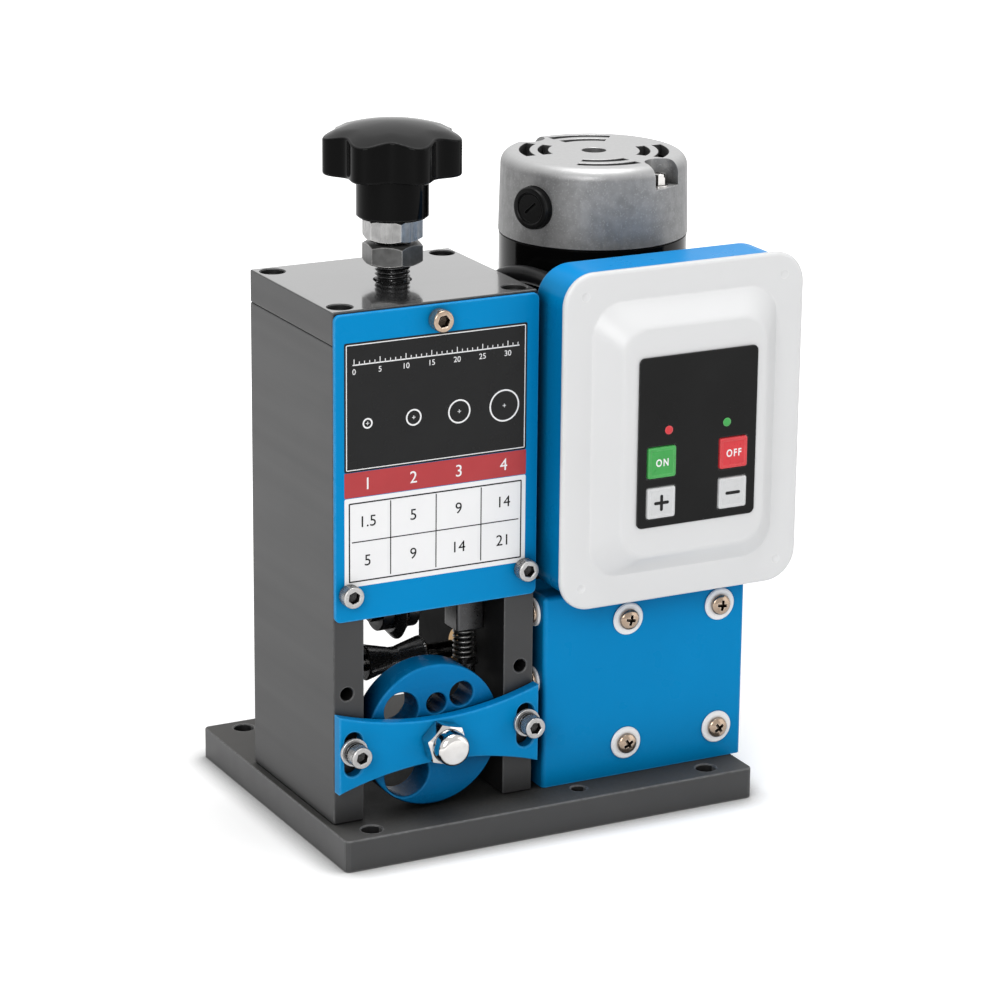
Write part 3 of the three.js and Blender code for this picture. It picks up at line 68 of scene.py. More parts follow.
def placeCamera(view):
    az, el, roll = (math.radians(view[key]) for key in ("azimuth", "elevation", "roll"))
    back = Vector((math.sin(az) * math.cos(el), -math.cos(az) * math.cos(el), math.sin(el)))
    level = Vector((math.cos(az), math.sin(az), 0))
    right = level * math.cos(roll) + back.cross(level) * math.sin(roll)
    up = back.cross(right)
    turn = Matrix((right, up, back)).transposed().to_4x4()
    camera = bpy.data.objects.new("camera", bpy.data.cameras.new("camera"))
    camera.data.lens = view["lens"]
    camera.data.clip_end = 50
    camera.matrix_world = Matrix.Translation(Vector(view["target"]) + back * view["distance"]) @ turn
    bpy.context.scene.collection.objects.link(camera)
    bpy.context.scene.camera = camera


placeCamera(cameraView)
print("camera placed")

# finishes: every one is a small node tree on the object's own coordinates, sizes in mm

masks = {
    "samples": 4, "farReach": 20,            # a crevice mask that reaches this far sees other pieces too
    "clouds": (0.2, 0.8), "specks": (0.56, 0.68), "edges": (0.9, 0.997),
    # lightened edges are partly wear and partly a painted highlight
    "wearAndGlintSize": 3, "wearAndGlintLeast": 0.35,        # patches on worn edges, and the share that is always worn
    "lineSize": 0.35, "lineDepth": 0.02,     # brushed or turned lines
}


def noiseNode(tree, size, detail=3, stretch=(1, 1, 1)):
    coords = tree.nodes.new("ShaderNodeTexCoord")
    mapping = tree.nodes.new("ShaderNodeMapping")
    mapping.inputs["Scale"].default_value = stretch
    noise = tree.nodes.new("ShaderNodeTexNoise")
    noise.inputs["Scale"].default_value = 1 / (size * mm)
    noise.inputs["Detail"].default_value = detail
    tree.links.new(coords.outputs["Object"], mapping.inputs["Vector"])
    tree.links.new(mapping.outputs["Vector"], noise.inputs["Vector"])
    return noise.outputs["Fac"]


# a value in the from range becomes one between low and high
def between(tree, value, low, high, fromLow=0.3, fromHigh=0.7):
    node = tree.nodes.new("ShaderNodeMapRange")
    node.inputs["From Min"].default_value = fromLow
    node.inputs["From Max"].default_value = fromHigh
    node.inputs["To Min"].default_value = low
    node.inputs["To Max"].default_value = high
    tree.links.new(value, node.inputs["Value"])
    return node.outputs["Result"]


def mathNode(tree, operation, first, second):
    node = tree.nodes.new("ShaderNodeMath")
    node.operation = operation
    tree.links.new(first, node.inputs[0])
    tree.links.new(second, node.inputs[1])
    return node.outputs[0]


# mixes two colours, or two colour sockets
def blended(tree, amount, first, second):
    node = tree.nodes.new("ShaderNodeMix")
    node.data_type = "RGBA"
    for socket, colour in ((node.inputs["A"], first), (node.inputs["B"], second)):
        if isinstance(colour, tuple):
            socket.default_value = (*colour, 1)
        else:
            tree.links.new(colour, socket)
    tree.links.new(amount, node.inputs["Factor"])
    return node.outputs["Result"]


# each layer is a height socket, a strength and a depth in mm
def bumped(tree, shader, layers):
    normal = None
    for height, strength, depth in layers:
        node = tree.nodes.new("ShaderNodeBump")
        node.inputs["Strength"].default_value = strength
        node.inputs["Distance"].default_value = depth * mm
        tree.links.new(height, node.inputs["Height"])
        if normal:
            tree.links.new(normal, node.inputs["Normal"])
        normal = node.outputs["Normal"]
    tree.links.new(normal, shader.inputs["Normal"])


# 0 deep in a crevice and 1 in the open; alone says whether the mask sees only its own piece
def crevice(tree, reach, alone=None):
    node = tree.nodes.new("ShaderNodeAmbientOcclusion")
    node.samples = masks["samples"]
    node.only_local = reach < masks["farReach"] if alone is None else alone
    node.inputs["Distance"].default_value = reach * mm
    return node.outputs["AO"]


# 1 on an outer edge and 0 on a flat
def edgeMask(tree, reach):
    soft = tree.nodes.new("ShaderNodeBevel")
    soft.samples = masks["samples"]
    soft.inputs["Radius"].default_value = reach * mm
    flat = tree.nodes.new("ShaderNodeNewGeometry")
    dot = tree.nodes.new("ShaderNodeVectorMath")
    dot.operation = "DOT_PRODUCT"
    tree.links.new(soft.outputs["Normal"], dot.inputs[0])
    tree.links.new(flat.outputs["True Normal"], dot.inputs[1])
    return between(tree, dot.outputs["Value"], 1, 0, *masks["edges"])


# one material: clouds of colour, then specks, a painted top light, outer edges lightened by wear and a
# painted highlight, and painted shade in crevices, each where it is asked for
def finish(name, slot, colour, metallic=0, roughness=0.4, spread=0.06, specular=0.5, cloud=0.08,
           cloudSize=18, grain=0.1, grainSize=0.6, lines=0, lineStretch=(1, 1, 1), coat=0, coatRoughness=0.1,
           coatIor=1.5, speck=None, speckSize=0.5, paintedShade=None, paintedShadeReach=2, paintedShadeFrom=(0.15, 0.75), edge=None,
           edgeReach=0.5, edgeWearAndGlintAmount=0.6, paintedTopLight=None, paintedTopLightFrom=(0.1, 0.9)):
    material = bpy.data.materials.new(name)
    material.use_nodes = True
    tree = material.node_tree
    shader = tree.nodes["Principled BSDF"]
    shader.inputs["Metallic"].default_value = metallic
    shader.inputs["Specular IOR Level"].default_value = specular
    shader.inputs["Coat Weight"].default_value = coat
    shader.inputs["Coat Roughness"].default_value = coatRoughness
    shader.inputs["Coat IOR"].default_value = coatIor
    dark = tuple(c * (1 - cloud) for c in colour)
    light = tuple(min(1, c * (1 + cloud)) for c in colour)
    clouds = between(tree, noiseNode(tree, cloudSize), 0, 1, *masks["clouds"])
    base = blended(tree, clouds, dark, light)
    if speck:                                # light grains of a cast skin
        spots = between(tree, noiseNode(tree, speckSize, 2), 0, 1, *masks["specks"])
        base = blended(tree, spots, base, speck)
    # painted top light: faces that look up get a lighter colour
    if paintedTopLight:                            # faces that look up are lighter
        facing = tree.nodes.new("ShaderNodeNewGeometry")
        split = tree.nodes.new("ShaderNodeSeparateXYZ")
        tree.links.new(facing.outputs["Normal"], split.inputs["Vector"])
        base = blended(tree, between(tree, split.outputs["Z"], 0, 1, *paintedTopLightFrom), base, paintedTopLight)
    # outer edges lighter: worn patches and a painted highlight
    if edge:                                 # worn outer edges
        patches = noiseNode(tree, masks["wearAndGlintSize"], 4)
        patchy = between(tree, patches, masks["wearAndGlintLeast"] * edgeWearAndGlintAmount, edgeWearAndGlintAmount)
        base = blended(tree, mathNode(tree, "MULTIPLY", edgeMask(tree, edgeReach), patchy), base, edge)
    # painted shade: the colour darkens in crevices and hollows, where light is blocked
    if paintedShade:                                 # dark corners
        base = blended(tree, between(tree, crevice(tree, paintedShadeReach), 1, 0, *paintedShadeFrom), base, paintedShade)
    tree.links.new(base, shader.inputs["Base Color"])
    wear = noiseNode(tree, cloudSize / 3, 5, lineStretch if lines else (1, 1, 1))
    tree.links.new(between(tree, wear, roughness - spread, roughness + spread), shader.inputs["Roughness"])
    layers = [(noiseNode(tree, grainSize), grain, grainSize / 6)]
    if lines:
        layers.append((noiseNode(tree, masks["lineSize"], 2, lineStretch), lines, masks["lineDepth"]))
    bumped(tree, shader, layers)
    return material


# the looks, each with the material slot that it belongs to; lengths in mm

# black is the colour of painted shade. In the looks below, the shade colours are painted shade, the top
# colours are painted top light, and the edge colours are partly wear and partly a painted highlight
black = (0.004, 0.004, 0.004)
looks = {
    "frameCoat": dict(slot="frame_steel", colour=(0.035, 0.035, 0.0355), roughness=0.42, spread=0.03,
        specular=0.34, cloudSize=30, grain=0.06, grainSize=0.7, lines=0.02, lineStretch=(1, 0.04, 1),
        paintedShade=black, paintedShadeReach=24, paintedShadeFrom=(0.3, 0.8), edge=(0.26, 0.26, 0.26), edgeReach=0.9),
    # a darker copy of the frame paint for faces inside the tower: painted shade
    "frameInsideShade": dict(slot="frame_steel", colour=(0.008, 0.008, 0.0082), roughness=0.5, spread=0.05,
        specular=0.02, cloud=0.2, cloudSize=20, grain=0.08, grainSize=0.7),
    "baseCoat": dict(slot="frame_steel", colour=(0.042, 0.042, 0.0425), roughness=0.5, spread=0.03,
        specular=0.37, cloud=0.07, cloudSize=30, grain=0.07, grainSize=0.7, paintedShade=black, paintedShadeReach=14,
        paintedShadeFrom=(0.4, 0.92), edge=(0.55, 0.55, 0.55), edgeReach=0.9, edgeWearAndGlintAmount=0.7),
    # a lighter copy of the base paint for its left side: painted light
    "baseLitSide": dict(slot="frame_steel", colour=(0.07, 0.07, 0.0705), roughness=0.5, spread=0.03,
        cloud=0.07, cloudSize=30, grain=0.07, grainSize=0.7, edge=(0.55, 0.55, 0.55), edgeReach=0.9,
        edgeWearAndGlintAmount=0.5),
    # a lighter copy for the base's top: painted top light, with painted shade under the tower
    "deckLitAndShaded": dict(slot="frame_steel", colour=(0.105, 0.103, 0.1), roughness=0.55, spread=0.03,
        specular=0.05, cloud=0.07, cloudSize=30, grain=0.07, grainSize=0.7, paintedShade=black, paintedShadeReach=80,
        paintedShadeFrom=(0.34, 0.68), edge=(0.55, 0.55, 0.55), edgeReach=0.9, edgeWearAndGlintAmount=0.7),
    "topCoat": dict(slot="frame_steel", colour=(0.03, 0.03, 0.0305), roughness=0.15, spread=0.03,
        specular=1, cloudSize=25, grain=0.02, grainSize=0.8, lines=0.015, lineStretch=(0.04, 1, 1), coat=1,
        coatRoughness=0.08, coatIor=1.8, paintedShade=black, paintedShadeReach=10, paintedShadeFrom=(0.5, 0.9),
        edge=(0.3, 0.3, 0.3), edgeReach=0.9),
    "blueEnamel": dict(slot="blue_enamel", colour=(0, 0.235, 0.54), roughness=0.3, spread=0.04,
        specular=0.06, cloud=0.03, cloudSize=45, grain=0.04, grainSize=0.5, paintedShade=(0, 0.06, 0.15),
        paintedShadeReach=60, paintedShadeFrom=(0.12, 0.86), edge=(0.1, 0.42, 0.78), edgeReach=1.1, edgeWearAndGlintAmount=0.8,
        paintedTopLight=(0, 0.29, 0.72), paintedTopLightFrom=(0.6, 0.98)),
    # a darker copy of the blue enamel for the drum: painted shade under the bracket and cover, with painted
    # shade in its hollows
    "drumEnamelShaded": dict(slot="blue_enamel", colour=(0, 0.17, 0.42), roughness=0.26, spread=0.04,
        specular=0.06, cloud=0.06, cloudSize=30, grain=0.04, grainSize=0.5, paintedShade=(0, 0.006, 0.025),
        paintedShadeReach=26, paintedShadeFrom=(0.25, 0.95), edge=(0.04, 0.34, 0.7), edgeReach=1.1, edgeWearAndGlintAmount=0.8),
    "brightSteel": dict(slot="bright_steel", colour=(0.6, 0.585, 0.57), metallic=1, roughness=0.12,
        spread=0.05, cloudSize=4, grain=0.05, grainSize=0.3, lines=0.06, lineStretch=(1, 1, 0.05),
        paintedShade=black, paintedShadeReach=5, paintedShadeFrom=(0.2, 0.85)),
    "screwSteel": dict(slot="bright_steel", colour=(0.4, 0.395, 0.39), metallic=0.55, roughness=0.32,
        cloud=0.12, cloudSize=3, grain=0.05, grainSize=0.3, paintedShade=black, paintedShadeReach=7, paintedShadeFrom=(0.35, 0.92),
        edge=(0.9, 0.88, 0.86), edgeWearAndGlintAmount=0.9),
    # a darker copy of the screw steel for the heads' sides: painted shade; their fronts take the lighter
    # steel
    "screwShadedSide": dict(slot="bright_steel", colour=(0.09, 0.09, 0.09), metallic=0.6, roughness=0.26,
        specular=0.4, cloud=0.12, cloudSize=3, grain=0.05, grainSize=0.3, paintedShade=black, paintedShadeReach=7,
        paintedShadeFrom=(0.35, 0.92), edge=(0.8, 0.79, 0.77), edgeReach=0.45, edgeWearAndGlintAmount=0.9),
    "springSteel": dict(slot="bright_steel", colour=(0.13, 0.128, 0.125), metallic=0.9, roughness=0.3,
        cloud=0.15, cloudSize=3, grain=0.05, grainSize=0.3),
    "nutSteel": dict(slot="bright_steel", colour=(0.27, 0.268, 0.265), metallic=0.65, roughness=0.3,
        cloud=0.4, cloudSize=4, grain=0.06, grainSize=0.3, lines=0.12, lineStretch=(1, 1, 0.04), paintedShade=black,
        paintedShadeReach=4, edge=(0.85, 0.84, 0.82), edgeReach=0.7),
    # a darker copy of the nut steel for the lower nut: painted shade
    "shadedNutSteel": dict(slot="bright_steel", colour=(0.075, 0.075, 0.074), metallic=0.65, roughness=0.34,
        cloud=0.4, cloudSize=4, grain=0.06, grainSize=0.3, lines=0.12, lineStretch=(1, 1, 0.04), paintedShade=black,
        paintedShadeReach=4, edge=(0.7, 0.69, 0.67), edgeReach=0.8),
    "warmNickel": dict(slot="bright_steel", colour=(0.36, 0.27, 0.2), metallic=0.85, roughness=0.18,
        spread=0.05, cloud=0.15, cloudSize=3, grain=0.05, grainSize=0.3, paintedShade=(0.012, 0.008, 0.005),
        paintedShadeReach=6, paintedShadeFrom=(0.35, 0.95), edge=(0.88, 0.78, 0.68), edgeWearAndGlintAmount=0.8),
    "darkSteel": dict(slot="dark_steel", colour=(0.04, 0.04, 0.041), metallic=0.8, roughness=0.26,
        spread=0.08, cloud=0.15, cloudSize=5, grain=0.08, grainSize=0.3, paintedShade=black,
        edge=(0.25, 0.25, 0.25), edgeReach=0.4),
    "milledSteel": dict(slot="grey_steel", colour=(0.085, 0.085, 0.087), metallic=0.85, roughness=0.32,
        spread=0.08, cloud=0.12, cloudSize=12, grain=0.05, grainSize=0.4, lines=0.2,
        lineStretch=(1, 0.03, 1), paintedShade=black, paintedShadeReach=40, edge=(0.3, 0.3, 0.3)),
    "bronze": dict(slot="bronze", colour=(0.36, 0.22, 0.09), metallic=1, roughness=0.3, spread=0.07,
        cloud=0.1, cloudSize=6, grain=0.06, grainSize=0.3),
    "castIron": dict(slot="cast_iron", colour=(0.014, 0.014, 0.0145), metallic=0.1, roughness=0.6,
        spread=0.1, specular=0.15, cloud=0.15, cloudSize=14, grain=0.5, grainSize=1.2),
    "blackOxide": dict(slot="dark_steel", colour=(0.01, 0.01, 0.01), metallic=0.2, spread=0.08,
        specular=0.3, cloud=0.15, cloudSize=5, grain=0.08, grainSize=0.3),
    "blackEnamel": dict(slot="black_paint", colour=(0.002, 0.002, 0.002), roughness=0.13, spread=0.04,
        specular=0.09, cloud=0.1, cloudSize=30, grain=0.05, grainSize=1.4),
    "castAluminium": dict(slot="cast_aluminium", colour=(0.2, 0.2, 0.2), metallic=0.6, roughness=0.44,
        spread=0.07, specular=0.45, cloud=0.22, cloudSize=5, grain=0.4, grainSize=0.5, lines=0.1,
        lineStretch=(1, 1, 0.1), speck=(0.25, 0.25, 0.25), speckSize=0.9, paintedShade=(0.01, 0.01, 0.01),
        paintedShadeReach=9, paintedShadeFrom=(0.4, 0.85), edge=(0.6, 0.6, 0.6), edgeReach=0.7, edgeWearAndGlintAmount=0.5,
        paintedTopLight=(0.5, 0.5, 0.5)),
    "blackPlastic": dict(slot="black_plastic", colour=(0.002, 0.002, 0.002), roughness=0.08, spread=0.03,
        specular=0.05, cloud=0.1, cloudSize=12, grain=0.03, grainSize=1.5, edge=(0.1, 0.1, 0.1),
        edgeReach=0.8, paintedTopLight=(0.033, 0.033, 0.033), paintedTopLightFrom=(0.4, 0.98)),
    "dullPlastic": dict(slot="black_plastic", colour=(0.004, 0.004, 0.004), roughness=0.3, spread=0.05,
        specular=0.1, cloud=0.1, cloudSize=6, grain=0.05, grainSize=0.8, paintedShade=black, paintedShadeFrom=(0.3, 0.95),
        edge=(0.05, 0.05, 0.05), edgeReach=0.6),
    "whitePlastic": dict(slot="white_plastic", colour=(0.685, 0.688, 0.692), roughness=0.3, spread=0.015,
        specular=0.35, cloud=0.012, cloudSize=35, grain=0.03, grainSize=1.2, edge=(0.8, 0.8, 0.8),
        edgeReach=1.6, edgeWearAndGlintAmount=0.9),
    "keyWhite": dict(slot="white_plastic", colour=(0.6, 0.605, 0.61), roughness=0.3, spread=0.05,
        specular=0.4, cloud=0.04, cloudSize=6, grain=0.05, grainSize=2, edge=(0.85, 0.85, 0.85)),
    "blackFilm": dict(slot="black_film", colour=(0.0045, 0.0045, 0.0045), roughness=0.08, spread=0.03,
        specular=0.12, cloud=0.4, cloudSize=25, grain=0.03, grainSize=6, edge=(0.16, 0.16, 0.16)),
    "greenKey": dict(slot="green_plastic", colour=(0.045, 0.34, 0.07), roughness=0.3, spread=0.05,
        specular=0.3, cloudSize=8, grain=0.05, grainSize=2, edge=(0.3, 0.65, 0.3)),
    "redKey": dict(slot="red_plastic", colour=(0.62, 0.035, 0.045), roughness=0.3, spread=0.05,
        specular=0.3, cloudSize=8, grain=0.05, grainSize=2, edge=(0.85, 0.25, 0.25)),
    "circuitBoard": dict(slot="circuit_board", colour=(0.02, 0.13, 0.05), roughness=0.35, spread=0.05,
        cloud=0.2, cloudSize=2, grainSize=0.8),
    "blackRubber": dict(slot="black_rubber", colour=(0.008, 0.008, 0.0085), roughness=0.34, spread=0.08,
        specular=0.3, cloud=0.15, cloudSize=8, grain=0.15, grainSize=0.8),
    "labelBlack": dict(slot="black_film", colour=(0.008, 0.008, 0.0083), roughness=0.24, spread=0.05,
        specular=0.15, cloud=0.15, cloudSize=20, grain=0.03, grainSize=3),
    "labelWhite": dict(slot="white_plastic", colour=(0.83, 0.83, 0.835), roughness=0.34, spread=0.05,
        specular=0.3, cloud=0.02, cloudSize=20, grain=0.03, grainSize=3),
    "labelRed": dict(slot="red_plastic", colour=(0.42, 0.04, 0.045), roughness=0.34, spread=0.05,
        specular=0.25, cloud=0.05, cloudSize=12, grain=0.03, grainSize=3),
}
finishes = {name: finish(name, **look) for name, look in looks.items()}
print("finishes mixed")

# shape helpers: a shape is its points in mm and its faces


def at(x, y, z):
    return Matrix.Translation((x, y, z))


toFront = Matrix.Rotation(pi / 2, 4, "X")    # a shape's top turns to the front
toBack = Matrix.Rotation(-pi / 2, 4, "X")
toRight = Matrix.Rotation(pi / 2, 4, "Y")
toLeft = Matrix.Rotation(-pi / 2, 4, "Y")


def turned(degrees):
    return Matrix.Rotation(math.radians(degrees), 4, "Z")


def moved(shape, matrix):
    return [matrix @ Vector(p) for p in shape[0]], shape[1]


def together(*shapes):
    points, faces = [], []
    for some, sides in shapes:
        first = len(points)
        points.extend(some)
        faces.extend([first + i for i in side] for side in sides)
    return points, faces


def skin(rings, closed=False):
    faces = []
    pairs = list(zip(rings, rings[1:]))
    if closed:
        pairs.append((rings[-1], rings[0]))
    for low, high in pairs:
        count = max(len(low), len(high))
        for i in range(count):
            k = (i + 1) % count
            if len(low) == 1:
                faces.append([low[0], high[k], high[i]])
            elif len(high) == 1:
                faces.append([low[i], low[k], high[0]])
            else:
                faces.append([low[i], low[k], high[k], high[i]])
    if not closed:
        if len(rings[0]) > 1:
            faces.append(list(reversed(rings[0])))
        if len(rings[-1]) > 1:
            faces.append(list(rings[-1]))
    return faces


# (radius, height) pairs spun about Z; either may be a function of the angle
def spun(levels, sides=64, closed=False, turn=0):
    points, rings = [], []
    for reach, height in levels:
        if reach == 0:
            rings.append([len(points)])
            points.append(Vector((0, 0, height)))
            continue
        ring = []
        for i in range(sides):
            angle = turn + 2 * pi * i / sides
            r = reach(angle) if callable(reach) else reach
            z = height(angle) if callable(height) else height
            ring.append(len(points))
            points.append(Vector((r * math.cos(angle), r * math.sin(angle), z)))
        rings.append(ring)
    return points, skin(rings, closed)


def bar(radius, low, high, sides=48):
    return spun([(0, low), (radius, low), (radius, high), (0, high)], sides)


def hexReach(flats, turn=0):
    return lambda angle: flats / 2 / math.cos((angle - turn) % (pi / 3) - pi / 6)


def circle(radius, x=0, y=0, sides=48):
    return [(x + radius * math.cos(2 * pi * i / sides), y + radius * math.sin(2 * pi * i / sides))
            for i in range(sides)]


def roundRect(width, height, corner, steps=6, x=0, y=0):
    loop = []
    for sx, sy, start in ((1, -1, -90), (1, 1, 0), (-1, 1, 90), (-1, -1, 180)):
        cx, cy = x + sx * (width / 2 - corner), y + sy * (height / 2 - corner)
        for i in range(steps + 1):
            angle = math.radians(start + 90 * i / steps)
            loop.append((cx + corner * math.cos(angle), cy + corner * math.sin(angle)))
    return loop


# an outline moved inward by a distance
def inset(loop, distance):
    moves = []
    count = len(loop)
    for i in range(count):
        (ax, ay), (bx, by), (cx, cy) = loop[i - 1], loop[i], loop[(i + 1) % count]
        before, after = math.hypot(bx - ax, by - ay), math.hypot(cx - bx, cy - by)
        sx = -(by - ay) / before - (cy - by) / after
        sy = (bx - ax) / before + (cx - bx) / after
        share = 2 * distance / (sx * sx + sy * sy)
        moves.append((bx + sx * share, by + sy * share))
    return moves


def wound(loop, anticlockwise):
    area = sum(loop[i - 1][0] * loop[i][1] - loop[i][0] * loop[i - 1][1] for i in range(len(loop)))
    return list(loop) if (area > 0) == anticlockwise else list(reversed(loop))


# pairs that are repeated, turned over, at the other end
def mirrored(pairs, height):
    return list(pairs) + [(amount, height - z) for amount, z in reversed(pairs)]


def rounded(height, edge):
    bends = [pi / 2 * i / 3 for i in range(4)]
    return mirrored([(edge * (1 - math.sin(bend)), edge * (1 - math.cos(bend))) for bend in bends], height)


# a flat outline pulled up along (inset, height) pairs; a hole that starts above the bottom is blind
def slab(outline, rim, holes=()):
    points, faces = [], []

    def stack(loop, pairs):
        rings = []
        for amount, height in pairs:
            rings.append([len(points) + i for i in range(len(loop))])
            points.extend(Vector((x, y, height)) for x, y in inset(loop, amount))
        for low, high in zip(rings, rings[1:]):
            count = len(low)
            for i in range(count):
                k = (i + 1) % count
                faces.append([low[i], low[k], high[k], high[i]])
        return rings

    def fill(loops):
        flat = [i for loop in loops for i in loop]
        for triangle in tessellate_polygon([[points[i] for i in loop] for loop in loops]):
            faces.append([flat[i] for i in triangle])

    rings = stack(wound(outline, True), rim)
    bottom, top = [rings[0]], [rings[-1]]
    for loop, pairs in holes:
        rings = stack(wound(loop, False), pairs)
        if pairs[0][1] > rim[0][1]:
            faces.append(rings[0])
        else:
            bottom.append(rings[0])
        top.append(rings[-1])
    fill(bottom)
    fill(top)
    return points, faces


def plain(outline, low, high):
    return slab(outline, [(0, low), (0, high)])


# rings of one outline each, such as round-cornered rectangles
def lofted(outlines):
    points, rings = [], []
    for loop, height in outlines:
        rings.append([len(points) + i for i in range(len(loop))])
        points.extend(Vector((x, y, height)) for x, y in loop)
    return points, skin(rings)


# a smooth line through every knot
def smoothPath(knots, steps):
    line = []
    ends = [knots[0] * 2 - knots[1]] + list(knots) + [knots[-1] * 2 - knots[-2]]
    for a, b, c, d in zip(ends, ends[1:], ends[2:], ends[3:]):
        for i in range(steps):
            t = i / steps
            line.append((b * 2 + (c - a) * t + (a * 2 - b * 5 + c * 4 - d) * t * t
                         + (b * 3 - a - c * 3 + d) * t ** 3) / 2)
    return line + [Vector(knots[-1])]


def tube(line, radius, sides):
    points, rings = [], []
    side = None
    for i, point in enumerate(line):
        along = (line[min(i + 1, len(line) - 1)] - line[max(i - 1, 0)]).normalized()
        if side is None:
            side = along.orthogonal().normalized()
        side = (side - along * side.dot(along)).normalized()
        up = along.cross(side)
        rings.append([len(points) + k for k in range(sides)])
        for k in range(sides):
            angle = 2 * pi * k / sides
            points.append(point + (side * math.cos(angle) + up * math.sin(angle)) * radius)
    return points, skin(rings)


def asObject(name, shape, size=1):
    mesh = bpy.data.meshes.new(name)
    mesh.from_pydata([tuple(Vector(p) * size) for p in shape[0]], [], [list(f) for f in shape[1]])
    work = bmesh.new()
    work.from_mesh(mesh)
    bmesh.ops.remove_doubles(work, verts=work.verts, dist=1e-5 * size)
    bmesh.ops.recalc_face_normals(work, faces=work.faces)
    work.to_mesh(mesh)
    work.free()
    thing = bpy.data.objects.new(name, mesh)
    bpy.context.scene.collection.objects.link(thing)
    return thing


def shapeOf(thing):
    ready = thing.evaluated_get(bpy.context.evaluated_depsgraph_get()).to_mesh()
    return [v.co.copy() for v in ready.vertices], [list(p.vertices) for p in ready.polygons]


# cuts the tools from a shape, or joins them to it
def carved(shape, *tools, way="DIFFERENCE"):
    for tool in tools:
        body, knife = asObject("workBody", shape), asObject("workTool", tool)
        cut = body.modifiers.new("cut", "BOOLEAN")
        cut.operation, cut.solver, cut.object = way, "EXACT", knife
        shape = shapeOf(body)
        for thing in (body, knife):
            old = thing.data
            bpy.data.objects.remove(thing)
            bpy.data.meshes.remove(old)
    return shape


# a shape becomes a piece with its look; it rides on a body and stands for a CAD node
def piece(name, shape, look, body="root", stands=None, crease=32, even=True):
    thing = asObject(name, shape, mm)
    mesh = thing.data
    mesh.polygons.foreach_set("use_smooth", [True] * len(mesh.polygons))
    mesh.set_sharp_from_angle(angle=math.radians(crease))
    mesh.materials.append(finishes[look])
    if even:
        soft = thing.modifiers.new("evenNormals", "WEIGHTED_NORMAL")
        soft.keep_sharp = True
    if body:
        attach(thing, body)
    if stands:
        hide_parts(stands)
    return thing

# faces that look in a direction get another look
def facesToward(thing, direction, look, least=0.9):
    thing.data.materials.append(finishes[look])
    for face in thing.data.polygons:
        if face.normal.dot(Vector(direction)) > least:
            face.material_index = len(thing.data.materials) - 1


# a CAD node's box in mm
def boxOf(node):
    low, high = (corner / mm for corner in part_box(node))
    return SimpleNamespace(low=low, high=high, size=high - low, mid=(low + high) / 2)


# where a shape stands: on the box's back face with its top to the front, or on its bottom face
def onBack(box):
    return at(box.mid.x, box.high.y, box.mid.z) @ toFront


def onBottom(box):
    return at(box.mid.x, box.mid.y, box.low.z)


# a word as a flat solid, its middle on the origin
def lettering(text, height, depth, bold=0.0, spread=1.0):
    capShare = 0.72                          # a capital's height in the font's own size
    curve = bpy.data.curves.new("lettering", "FONT")
    curve.space_character = spread
    curve.body, curve.size = text, height / capShare
    curve.align_x, curve.align_y = "CENTER", "CENTER"
    curve.extrude, curve.offset = depth / 2, bold
    curve.resolution_u = 6
    thing = bpy.data.objects.new("lettering", curve)
    bpy.context.scene.collection.objects.link(thing)
    shape = shapeOf(thing)
    middle = (max(p.y for p in shape[0]) + min(p.y for p in shape[0])) / 2
    bpy.data.objects.remove(thing)
    bpy.data.curves.remove(curve)
    return moved(shape, at(0, -middle, depth / 2))


# frame plates: the base, two sides and the top, with bench holes, tapped holes and bores

plates = {
    "edge": 0.7, "corner": 0.8, "baseCorner": 2.8,
    "benchHole": 4.8, "benchX": (-88, 85), "benchY": (-71.5, 71.5),
    "slimHole": 3.6, "slimX": 19, "slimY": -68.4,
    "tap": 3.1, "tapLip": 0.4, "tapDepth": 14, "tapInset": 6.6, "tapHeights": (36.6, 61.5, 109.1),
    "shaftBore": 7.1, "leftBoreDepth": 10.1, "spindleBore": 8.3,
    "bore": 5.6, "boreLip": 0.5, "boreDepth": 8, "boreInsetX": 7.5, "boreInsetY": 8.2,
}
over = 2         # how far a cutting shape runs past the face that it opens


def throughHole(radius, thick, x=0, y=0, lip=0.5, sides=48):
    return circle(radius, x, y, sides), mirrored([(lip, 0), (0, lip)], thick)


def basePlate():
    box = boxOf("base_plate")
    size, thick = box.size, box.size.z
    holes = [throughHole(plates["benchHole"], thick, x, y)
             for x in plates["benchX"] for y in plates["benchY"]]
    holes.append(throughHole(plates["slimHole"], thick, plates["slimX"], plates["slimY"]))
    shape = slab(roundRect(size.x, size.y, plates["baseCorner"]), rounded(thick, plates["edge"]), holes)
    plate = piece("basePlate", moved(shape, at(0, 0, box.low.z)), "baseCoat", stands="base_plate")
    # the top faces take a lighter copy, painted top light with painted shade under the tower, and the left
    # side another lighter copy, painted light
    facesToward(plate, (0, 0, 1), "deckLitAndShaded")
    facesToward(plate, (-1, 0, 0), "baseLitSide")


